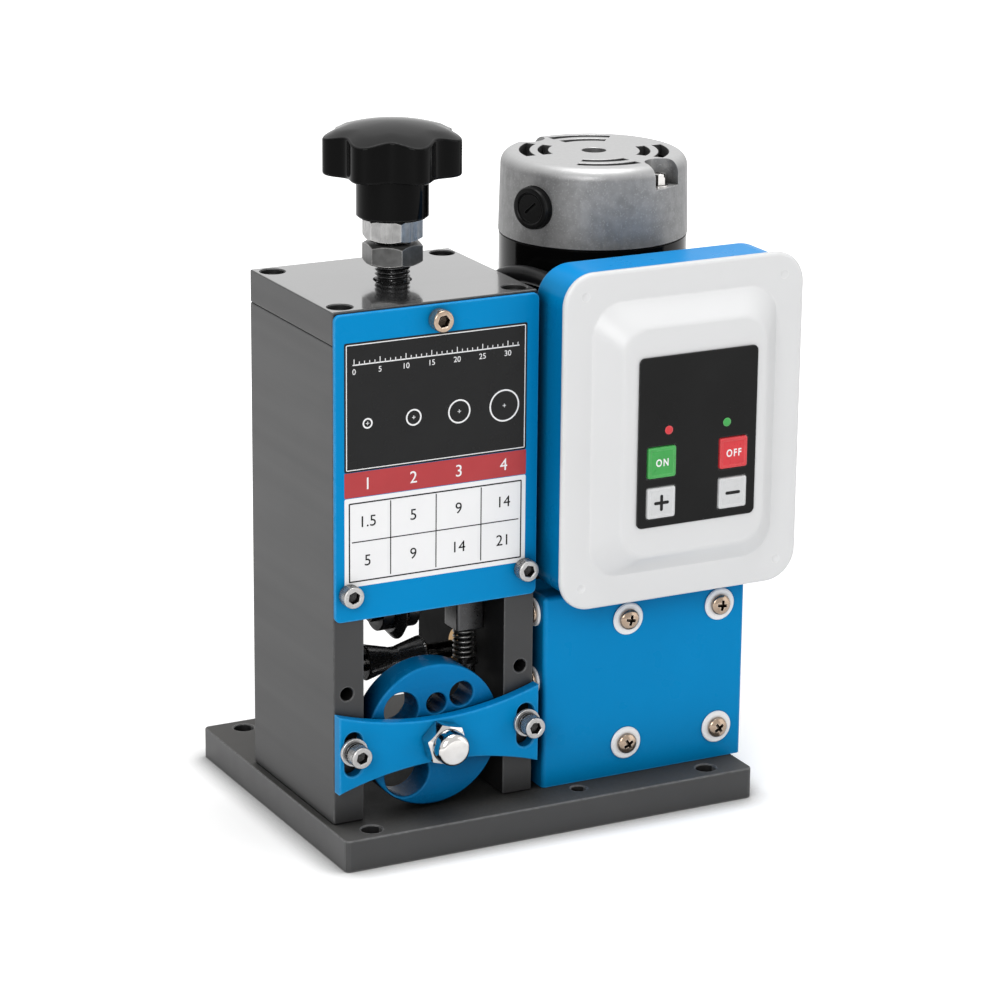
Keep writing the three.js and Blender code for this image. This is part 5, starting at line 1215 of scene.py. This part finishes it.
# brush caps: a slotted plug with a raised, rounded rim

brushCap = {
    "profile": ((0, -9), (7.2, -9), (7.2, 0), (9.5, 0), (9.8, 0.3), (9.8, 3.5), (9.3, 4.3), (8.6, 4.6),
                (7.5, 4.6), (7.1, 4.3), (7.0, 3.7), (6.5, 3.6), (6.3, 3.9), (0, 3.9)),
    "slotLong": 8, "slotWide": 1.3, "slotFloor": 2.6, "slotTop": 6.6, "slotTurn": 131, "seat": 42.5,
}


def brushCapPieces():
    axis = boxOf("motor_barrel").mid
    slot = roundRect(brushCap["slotLong"], brushCap["slotWide"], 0.3, 3)
    shape = carved(spun(brushCap["profile"], 96), plain(slot, brushCap["slotFloor"], brushCap["slotTop"]))
    for side, end in (("right", 0), ("left", 180)):
        node = f"brush_cap_{side}"
        place = at(axis.x, axis.y, boxOf(node).mid.z) @ turned(endCap["brushTurn"] + end)
        place = place @ at(brushCap["seat"], 0, 0) @ toRight @ turned(brushCap["slotTurn"])
        piece(f"brushCap{side.title()}", moved(shape, place), "dullPlastic", stands=node)


gearboxPiece()
barrelPiece()
endCapPiece()
brushCapPieces()
print("motor made")

# gearbox cover: a bent sheet hood, cut away behind round the motor

hood = {"sheet": 2, "bend": 2.1, "motorGap": 0.3, "clearLong": 60, "shaftHole": 7}


def hoodPiece():
    box = boxOf("gearbox_cover")
    size, low, high = box.size, box.low, box.high
    sheet, bend = hood["sheet"], hood["bend"]

    def outline(shrink, corner, back):
        left, right, front = low.x + shrink, high.x - shrink, low.y + shrink
        loop = [(right, back), (left, back)]
        for cx, start in ((left + corner, 180), (right - corner, 270)):
            for i in range(7):
                angle = math.radians(start + 15 * i)
                loop.append((cx + corner * math.cos(angle), front + corner + corner * math.sin(angle)))
        return loop

    bends = [pi / 2 * i / 6 for i in range(1, 7)]
    curve = [(bend * (1 - math.cos(b)), size.z - bend * (1 - math.sin(b))) for b in bends]
    outer = slab(outline(0, bend, high.y), [(0, 0), (0, size.z - bend)] + curve)
    small, roof = bend - sheet, size.z - sheet
    inner = [(0, -over), (0, roof - small), (small * 0.3, roof - small * 0.3), (small, roof)]
    room = slab(outline(sheet, small, high.y + 10 * over), inner)
    shape = carved(*(moved(part, at(0, 0, low.z)) for part in (outer, room)))
    gap = boxOf("motor_barrel").mid.y - barrel["radius"] - hood["motorGap"]
    clear = plain(roundRect(size.x - 2 * sheet, hood["clearLong"], 0.01, 1), -over, size.z + 4 * over)
    clear = moved(clear, at(box.mid.x, gap + hood["clearLong"] / 2, low.z))
    wheel = boxOf("worm_wheel").mid
    hole = moved(bar(hood["shaftHole"], -20, 20), at(low.x, wheel.y, wheel.z) @ toRight)
    piece("gearboxCover", carved(shape, clear, hole), "blueEnamel", stands="gearbox_cover")


# pan head screws with a cross recess, each on a white washer; the cover's side screws have smaller washers

panScrew = {
    "head": 4.9, "tip": 3.8, "rim": 1.9, "under": 1.1, "shank": 2, "length": 8,
    "cross": ((2.6, 0.9, -2.2), (6, 1.7, 0.4)), "turn": 31, "turnStep": 47,
    "washer": ((4, 0), (7.4, 0), (7.7, 0.25), (7.7, 0.6), (7.2, 1.05), (5.6, 1.1), (5, 0.8), (4, 0.8)),
    "sideShare": 0.86,
}


def panHead():
    wide, rim, under, shank = (panScrew[key] for key in ("head", "rim", "under", "shank"))
    crown = [(0, -panScrew["length"]), (shank, -panScrew["length"]), (shank, under), (wide - 0.2, under),
             (wide, under + 0.2), (wide, rim)]
    for i in range(1, 6):
        bend = pi / 2 * i / 6
        crown.append((wide * math.cos(bend), rim + rim * math.sin(bend)))
    arm = lofted([(roundRect(long, thick, 0.05, 1), panScrew["tip"] + z)
                  for long, thick, z in panScrew["cross"]])
    return carved(spun(crown + [(0, 2 * rim)]), arm, moved(arm, turned(90)))


def hoodScrews():
    shape, white = panHead(), spun(panScrew["washer"], 72, True)
    tip, share = panScrew["tip"], panScrew["sideShare"]
    nodes = [(f"gearbox_cover_screw_{i}", toFront) for i in (1, 2, 3, 4)]
    nodes += [(f"gearbox_cover_side_screw_{i}", toLeft) for i in (1, 2)]
    for i, (node, facing) in enumerate(nodes):
        box = boxOf(node)
        turn = turned(panScrew["turn"] + panScrew["turnStep"] * i)
        if facing is toFront:
            place, small = at(box.mid.x, box.low.y + tip, box.mid.z) @ facing @ turn, Matrix()
        else:
            place = at(box.low.x + tip, box.mid.y, box.mid.z) @ facing @ turn
            small = Matrix.Diagonal((share, share, 1, 1))
        piece(f"coverScrew{i + 1}", moved(shape, place), "warmNickel", stands=node)
        piece(f"coverScrewWasher{i + 1}", moved(white, place @ small), "labelWhite")


hoodPiece()
hoodScrews()
print("gearbox cover made")

# control box: a blue shell, open at the front, with bores for the two glands

shell = {"wall": 2, "corner": 16, "back": 3, "lip": 0.3, "leadBore": 4.3, "mainsBore": 5.7}


def shellPiece():
    box = boxOf("control_shell")
    size, deep, wall, corner = box.size, box.size.y, shell["wall"], shell["corner"]
    bends = [pi / 2 * i / 5 for i in range(6)]
    back = [(shell["back"] * (1 - math.sin(b)), shell["back"] * (1 - math.cos(b))) for b in bends]
    back += [(0, deep - shell["lip"]), (shell["lip"], deep)]
    outer = slab(roundRect(size.x, size.z, corner, 12), back)
    inner = slab(roundRect(size.x - 2 * wall, size.z - 2 * wall, corner - wall, 12),
                 [(1.2, wall), (0.3, wall + 0.4), (0, wall + 1.2), (0, deep + 5)])
    shape = moved(carved(outer, inner), onBack(box))
    for node, radius in (("lead_gland", shell["leadBore"]), ("mains_gland", shell["mainsBore"])):
        spot = boxOf(node).mid
        shape = carved(shape, moved(bar(radius, -5, 5), at(spot.x, box.high.y, spot.z) @ toFront))
    piece("controlShell", shape, "blueEnamel", stands="control_shell")


# white lid: a flat rim with a dent in each corner, a slope and a raised plateau; hollow behind

lid = {
    "rim": 2.8, "raise": 10.5, "margin": 14.3, "run": 10.8, "wall": 2.4, "corner": 15, "footCorner": 15,
    "plateauCorner": 12.5,
    "edge": ((1.0, 0), (0.3, 0.15), (0, 0.6), (0, 1.5), (0.35, 2.3), (1.2, 2.75), (2.2, 2.8)),
    "footBend": ((-0.6, 0), (-0.1, 0.08), (0.3, 0.4), (0.8, 1)),
    "topBend": ((-1.6, 1.4), (-0.8, 0.65), (0.1, 0.18), (1.1, 0)),
    "dent": ((0, -0.5), (1.1, -0.45), (1.9, -0.2), (2.3, 0.05), (2.3, 1), (0, 1)), "dentInset": 10.5,
    "mouthCorner": 9, "mouthWider": 3,
}
keys = {
    "side": 14.3, "gap": 0.3, "windowCorner": 0.9, "corner": 1.1,
    "flange": 1, "flangeFrom": 1.4, "flangeTo": 2.4,
    "rim": ((0, -0.55), (0.18, -0.2), (0.55, 0), (1.25, 0), (1.55, -0.22)),
    "dish": ((2.4, -0.16), (3.6, -0.08), (5.2, -0.03)), "dishCorner": 1.4,
    "looks": {"on": "greenKey", "off": "redKey", "plus": "keyWhite", "minus": "keyWhite"},
    "mark": 7.6, "markWide": 1.5, "markTall": 0.14, "markSink": 0.12, "word": 3.4, "wordBold": 0.12,
    "wordSpread": 1.3, "wordShare": 0.8,
}


def keySpots():
    return [boxOf(name + "_button").mid for name in keys["looks"]]


def keyWindow(x=0, y=0):
    side = keys["side"] + 2 * keys["gap"]
    return roundRect(side, side, keys["windowCorner"], 4, x, y)


def lidPiece():
    box = boxOf("control_lid")
    size, rim, wall, margin = box.size, lid["rim"], lid["wall"], lid["margin"]
    total = rim + lid["raise"]

    def ring(gap, corner, height):
        return roundRect(size.x - 2 * gap, size.z - 2 * gap, corner, 12), height

    def slope(shrink, drop):
        foot, top = margin + shrink, margin + lid["run"] + shrink * 0.6
        marks = [(foot + gap, rim - drop + z) for gap, z in lid["footBend"]]
        marks += [(top + gap, total - drop - z) for gap, z in lid["topBend"]]
        rings = []
        for gap, height in marks:
            share = (gap - foot) / (top - foot)
            corner = lid["footCorner"] + (lid["plateauCorner"] - lid["footCorner"]) * share
            rings.append(ring(gap, corner - shrink * 0.4, height))
        return rings

    outer = [ring(gap, lid["corner"] - gap, height) for gap, height in lid["edge"]]
    mouth = ring(margin + wall - lid["mouthWider"], lid["mouthCorner"], -over)
    shape = carved(lofted(outer + slope(0, 0)), lofted([mouth] + slope(wall, wall)))
    x, y = size.x / 2 - lid["dentInset"], size.z / 2 - lid["dentInset"]
    dent = spun(lid["dent"], 40)
    dents = together(*(moved(dent, at(sx * x, sy * y, rim)) for sx in (-1, 1) for sy in (-1, 1)))
    shape = moved(carved(shape, dents), onBack(box))
    window = plain(keyWindow(), -5, total + 5)
    windows = together(*(moved(window, at(spot.x, box.high.y, spot.z) @ toFront) for spot in keySpots()))
    piece("controlLid", carved(shape, windows), "whitePlastic", stands="control_lid", crease=40)


# keypad film with two small lamps

film = {"corner": 2.7, "edge": 0.22, "lip": 0.2, "lipDrop": 0.25, "lampX": 15, "lampZ": 5.2,
        "lampLift": 0.02, "lens": ((0, 0), (2, 0), (2, 0.12), (1.8, 0.25), (1.1, 0.38), (0, 0.42))}


def filmPiece():
    box = boxOf("membrane_panel")
    thick, mid = box.size.y, box.mid
    lip = [(0, 0), (0, thick - film["lipDrop"]), (film["lip"], thick)]
    holes = [(keyWindow(spot.x - mid.x, spot.z - mid.z), lip) for spot in keySpots()]
    shape = slab(roundRect(box.size.x, box.size.z, film["corner"], 8), rounded(thick, film["edge"]), holes)
    piece("membraneFilm", moved(shape, onBack(box)), "blackFilm", stands="membrane_panel")
    for name, x, look in (("stopLamp", -film["lampX"], "redKey"), ("runLamp", film["lampX"], "greenKey")):
        place = at(mid.x + x, box.low.y - film["lampLift"], mid.z + film["lampZ"]) @ toFront
        piece(name, moved(spun(film["lens"], 40), place), look)


# keys: a square stem with a flange under the lid, a raised rim and a dished face
def keyShape(deep):
    side = keys["side"]

    def ring(gap, corner, height):
        return roundRect(side - 2 * gap, side - 2 * gap, corner, 5), height

    corner, flange, low, high = (keys[key] for key in ("corner", "flange", "flangeFrom", "flangeTo"))
    rings = [ring(0, corner, 0), ring(0, corner, low), ring(-flange, corner, low),
             ring(-flange, corner, high), ring(0, corner, high)]
    rings += [ring(gap, max(0.3, corner - gap * 0.5), deep + z) for gap, z in keys["rim"]]
    return lofted(rings + [ring(gap, keys["dishCorner"], deep + z) for gap, z in keys["dish"]])


def keyPiece(name, look):
    box, body = boxOf(name + "_button"), name + "_key"
    deep, tall = box.size.y, keys["markTall"]
    shape = keyShape(deep)
    piece(name + "Key", moved(shape, onBack(box)), look, body, name + "_button")
    place = onBack(box) @ at(0, 0, deep - keys["markSink"])
    if name in ("on", "off"):
        word = lettering(name.upper(), keys["word"], tall, keys["wordBold"], keys["wordSpread"])
        word = moved(word, place @ Matrix.Diagonal((keys["wordShare"], 1, 1, 1)))
        piece(name + "Word", word, "labelWhite", body, even=False)
        return
    mark, wide = keys["mark"], keys["markWide"]
    shape = plain(roundRect(mark, wide, wide / 2 - 0.01, 5), 0, tall)
    if name == "plus":
        shape = carved(shape, plain(roundRect(wide, mark, wide / 2 - 0.01, 5), 0, tall), way="UNION")
    piece(name + "Mark", moved(shape, place), "labelBlack", body, even=False)


shellPiece()
lidPiece()
filmPiece()
for name, look in keys["looks"].items():
    keyPiece(name, look)
print("control box made")

# motor lead; its route is the one in the part, from the right side plate's front edge and the deck

lead = {
    "radius": 4,
    "route": ((24, 10.6, 229), (24, 17.5, 229), (23.4, 27, 230.2), (21.3, 37.5, 231.5), (17, 47.6, 231.8),
              (12, 56, 229.4), (9, 62.4, 223), (8.1, 67, 213), (8.8, 70, 200), (10.6, 71.6, 184),
              (12.6, 72, 166), (13.8, 72, 148), (14.2, 72, 130), (14.2, 72, 110), (14.2, 72, 85.2)),
}


def leadPiece():
    plate, deck = boxOf("right_side_plate"), boxOf("base_plate").high.z
    knots = [Vector((plate.high.x + x, plate.low.y + y, deck + z)) for x, y, z in lead["route"]]
    shape = tube(smoothPath(knots, 8), lead["radius"], 24)
    piece("motorLead", shape, "blackRubber", stands="motor_lead", even=False, crease=60)


# glands: a ribbed rubber sleeve for the lead, and a hexagon with a gripped nut for the mains

glands = {
    "sleeveFoot": ((4.3, 0.2), (4.6, 0), (7.2, 0), (7.5, 0.3), (7.5, 1.6), (7.2, 1.9)),
    "sleeveEnd": ((5.6, 5.8), (5.2, 6), (4.5, 6), (4.3, 5.8)),
    "ribs": 3, "ribFrom": 2.1, "ribStep": 1.2, "groove": 6.3, "grooveTaper": 0.1,
    "rib": 6.9, "ribTaper": 0.2,
    "flats": 16, "inner": 7.8, "hexTall": 5, "bevel": 0.3, "slope": 0.6,
    "neck": 4, "neckRadius": 5.6, "bore": 3.4,
    "grips": 12, "gripDepth": 0.35, "nut": ((7.0, 5.3), (6.9, 7.4)), "nutEnd": (6.2, 9),
    "mouth": ((5.2, 0.8), (4.2, 0), (3.5, 0.1), (3.4, 0.6)),
}


def leadGland():
    box = boxOf("lead_gland")
    levels = list(glands["sleeveFoot"])
    for k in range(glands["ribs"]):
        z = glands["ribFrom"] + glands["ribStep"] * k
        groove, rib = glands["groove"] - glands["grooveTaper"] * k, glands["rib"] - glands["ribTaper"] * k
        levels += [(groove, z), (groove, z + 0.2), (rib, z + 0.4), (rib, z + 0.9)]
    levels += glands["sleeveEnd"]
    place = at(box.mid.x, box.low.y, box.mid.z) @ toBack
    piece("leadGland", moved(spun(levels, 48, True), place), "blackRubber", stands="lead_gland")


def mainsGland():
    box = boxOf("mains_gland")
    neck, low, inner, bore = (glands[key] for key in ("neck", "hexTall", "inner", "bore"))
    hexagon, length = hexReach(glands["flats"]), box.size.y - neck
    grips, depth = glands["grips"], glands["gripDepth"]
    grip = lambda radius: lambda angle: radius - depth * (0.5 - 0.5 * math.cos(grips * angle))
    levels = [(bore, -neck), (glands["neckRadius"], -neck), (glands["neckRadius"], 0), (inner, 0),
              (hexagon, glands["bevel"]), (hexagon, cornersOff(hexagon, inner, low, -glands["slope"])),
              (inner - 0.1, low)]
    levels += [(grip(radius), z) for radius, z in glands["nut"]] + [glands["nutEnd"]]
    levels += [(radius, length - down) for radius, down in glands["mouth"]]
    place = at(box.mid.x, box.low.y + neck, box.mid.z) @ toBack
    piece("mainsGland", moved(spun(levels, 96, True), place), "blackPlastic", stands="mains_gland")


leadPiece()
leadGland()
mainsGland()
print("lead and glands made")

# size chart on the front cover: hole sizes on a dark field, settings under a red band

chart = {
    "left": 4.6, "right": 94, "bottom": 112.3, "top": 223.4, "split": 153.4, "band": 11.6, "gap": 0.2,
    "filmTall": 0.12, "filmEdge": 0.05, "filmEdgeFrom": 0.08, "lift": 0.01, "layer": 0.1, "inkTall": 0.1,
    "corner": 0.8, "sharp": 0.05, "softFrom": 0.3,
    "frame": 0.8, "frameLine": 0.4, "frameCorner": 0.6,
    "ruleDrop": 10, "ruleEnd": 8, "ruleStep": 2.5, "ruleLine": 0.5, "ruleText": 2.6, "ruleTextDrop": 3,
    "tickEnd": 10, "tickLine": 0.35, "longTick": 2.6, "tick": 1.5, "longEvery": 5,
    "ringRadii": (2.4, 3.8, 5.5, 7.4), "ringLine": 0.7, "ringHeight": 186.5, "cross": 1.6, "crossLine": 0.3,
    "rows": (("1.5", "5", "9", "14"), ("5", "9", "14", "21")),
    "rowDrop": 11.5, "rowStep": 18, "rowText": 5.2,
    "bandText": 5.6, "gridLine": 0.45, "gridDrop": 20.6, "gridEnd": 7,
    "boxEnd": 4, "boxDrop": 4.5, "boxLine": 0.6, "boxCorner": 0.5,
}


def patch(x, z, width, height, corner=chart["sharp"], hole=0):
    tall = chart["filmTall"]
    holes = []
    if hole:
        inner = roundRect(width - 2 * hole, height - 2 * hole, max(chart["sharp"], corner - hole), 4, x, z)
        holes.append((inner, [(0, 0), (0, tall)]))
    rim = [(0, 0), (0, tall)]
    if corner > chart["softFrom"]:
        rim = [(0, 0), (0, chart["filmEdgeFrom"]), (chart["filmEdge"], tall)]
    return slab(roundRect(width, height, corner, 4, x, z), rim, holes)


def chartPieces():
    left, right, bottom, top, split, band, gap, tall = (
        chart[key] for key in ("left", "right", "bottom", "top", "split", "band", "gap", "filmTall"))
    mid, wide = (left + right) / 2, right - left
    upper, upperTall = (split + band + top) / 2, top - split - band
    lower, lowerTall = (bottom + split) / 2, split - bottom

    def place(layer):
        face = boxOf("front_cover").low.y - chart["lift"] - chart["layer"] * layer
        return at(boxOf("left_side_plate").low.x, face, boxOf("base_plate").high.z) @ toFront

    def word(text, x, z, height):
        return moved(lettering(text, height, chart["inkTall"]), at(x, z, 0))

    def fieldPiece(name, shape, look, layer=0):
        piece(name, moved(shape, place(layer)), look, even=False)

    corner = chart["corner"]
    fieldPiece("chartDark", patch(mid, upper, wide, upperTall, corner), "labelBlack")
    fieldPiece("chartBand", patch(mid, split + band / 2 - gap / 2, wide, band - gap, corner / 2), "labelRed")
    fieldPiece("chartPale", patch(mid, lower - gap, wide, lowerTall - gap, corner), "labelWhite")

    inward, ruleZ = 2 * chart["frame"], top - chart["ruleDrop"]
    white = [patch(mid, upper, wide - inward, upperTall - inward, chart["frameCorner"], chart["frameLine"]),
             patch(mid, ruleZ, wide - chart["ruleEnd"], chart["ruleLine"])]
    steps = round((wide - chart["tickEnd"]) / chart["ruleStep"])
    for i in range(steps + 1):
        x, long = mid + (i - steps / 2) * chart["ruleStep"], i % chart["longEvery"] == 0
        tick = chart["longTick"] if long else chart["tick"]
        white.append(patch(x, ruleZ + tick / 2, chart["tickLine"], tick))
        if long:
            white.append(word(str(i), x, ruleZ - chart["ruleTextDrop"], chart["ruleText"]))
    ink, ringZ = [], chart["ringHeight"]
    column = wide / len(chart["ringRadii"])
    for i, radius in enumerate(chart["ringRadii"]):
        x = left + column * (i + 0.5)
        inside = circle(radius - chart["ringLine"], x, ringZ)
        white.append(slab(circle(radius, x, ringZ), [(0, 0), (0, tall)], [(inside, [(0, 0), (0, tall)])]))
        white.append(patch(x, ringZ, chart["cross"], chart["crossLine"]))
        white.append(patch(x, ringZ, chart["crossLine"], chart["cross"]))
        white.append(word(str(i + 1), x, split + band / 2, chart["bandText"]))
        for row, numbers in enumerate(chart["rows"]):
            rowZ = split - chart["rowDrop"] - chart["rowStep"] * row
            ink.append(word(numbers[i], x, rowZ, chart["rowText"]))
    line, end = chart["gridLine"], chart["gridEnd"]
    for i in range(1, len(chart["ringRadii"])):
        ink.append(patch(left + column * i, lower, line, lowerTall - end))
    ink.append(patch(mid, split - chart["gridDrop"], wide - end, line))
    ink.append(patch(mid, lower - gap, wide - chart["boxEnd"], lowerTall - chart["boxDrop"],
                     chart["boxCorner"], chart["boxLine"]))
    fieldPiece("chartWhiteInk", together(*white), "labelWhite", 1)
    fieldPiece("chartDarkInk", together(*ink), "labelBlack", 1)


chartPieces()
print("chart made")

# nodes kept as they are, out of sight inside the machine

keptLooks = {"worm_wheel": "bronze", "motor_worm_shaft": "brightSteel", "control_board": "circuitBoard"}
for node, look in keptLooks.items():
    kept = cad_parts[node]
    kept.data.materials.clear()
    kept.data.materials.append(finishes[look])
print("hidden nodes painted")

# studio: white paper and world for the camera, three soft lamps

studio = {
    "world": 0.36, "aim": (0, 0, 0.13),
    "lamps": {"keyLamp": {"spot": (-1.2, -1.4, 1.0), "size": 0.9, "power": 17.5},
              "fillLamp": {"spot": (1.5, -1.2, 0.6), "size": 1.2, "power": 6},
              "topLamp": {"spot": (0.1, -0.1, 1.8), "size": 1.0, "power": 17.5}},
    # the contact values make the paper's painted contact shadow; the glow values make the paper darker near
    # the machine, painted shade
    "paper": 0.9, "paperRough": 0.9, "paperHalf": 4, "contactShadow": 14, "contactDark": 0.2,
    "contactFrom": 0.45, "contactTo": 0.97,
    "glowNear": 0.3, "glowFar": 0.8, "glowFrom": 0.24, "glowTo": 0.7,
}


def worldLight():
    world = bpy.data.worlds.new("studioWorld")
    bpy.context.scene.world = world
    world.use_nodes = True
    tree = world.node_tree
    back = tree.nodes["Background"]
    back.inputs["Color"].default_value = (1, 1, 1, 1)
    path = tree.nodes.new("ShaderNodeLightPath").outputs
    shine = mathNode(tree, "MAXIMUM", path["Is Glossy Ray"], path["Is Transmission Ray"])
    seen = mathNode(tree, "MAXIMUM", path["Is Camera Ray"], shine)
    tree.links.new(between(tree, seen, studio["world"], 1, 0, 1), back.inputs["Strength"])


def lampLight(name, lamp):
    data = bpy.data.lights.new(name, "AREA")
    data.size, data.energy = lamp["size"], lamp["power"]
    thing = bpy.data.objects.new(name, data)
    thing.location = lamp["spot"]
    thing.rotation_mode = "QUATERNION"
    thing.rotation_quaternion = (Vector(studio["aim"]) - Vector(lamp["spot"])).to_track_quat("-Z", "Y")
    bpy.context.scene.collection.objects.link(thing)


# white paper: a painted contact shadow darkens it where the machine stands on it, and it glows more away
# from the machine, so it is darker round it, painted shade
def paperFloor():
    half = studio["paperHalf"]
    corners = [(-half, -half, 0), (half, -half, 0), (half, half, 0), (-half, half, 0)]
    ground = asObject("floor", (corners, [[0, 1, 2, 3]]))
    paint = bpy.data.materials.new("floorPaper")
    paint.use_nodes = True
    tree = paint.node_tree
    shader = tree.nodes["Principled BSDF"]
    # painted contact shadow: darkens the paper's colour and its glow next to the machine
    contactShadow = between(tree, crevice(tree, studio["contactShadow"], False), studio["contactDark"], 1,
                      studio["contactFrom"], studio["contactTo"])
    paper = blended(tree, contactShadow, (0, 0, 0), (studio["paper"],) * 3)
    tree.links.new(paper, shader.inputs["Base Color"])
    shader.inputs["Roughness"].default_value = studio["paperRough"]
    shader.inputs["Emission Color"].default_value = (1, 1, 1, 1)
    path = tree.nodes.new("ShaderNodeLightPath").outputs
    seen = mathNode(tree, "MAXIMUM", path["Is Camera Ray"], path["Is Glossy Ray"])
    away = tree.nodes.new("ShaderNodeVectorMath")
    away.operation = "LENGTH"
    tree.links.new(tree.nodes.new("ShaderNodeTexCoord").outputs["Object"], away.inputs[0])
    rise = between(tree, away.outputs["Value"], studio["glowNear"], studio["glowFar"], studio["glowFrom"],
                   studio["glowTo"])
    glow = mathNode(tree, "MULTIPLY", mathNode(tree, "MULTIPLY", seen, rise), contactShadow)
    tree.links.new(glow, shader.inputs["Emission Strength"])
    ground.data.materials.append(paint)


bpy.context.scene.view_settings.view_transform = "Standard"
worldLight()
for name, lamp in studio["lamps"].items():
    lampLight(name, lamp)
paperFloor()
print("studio lit")
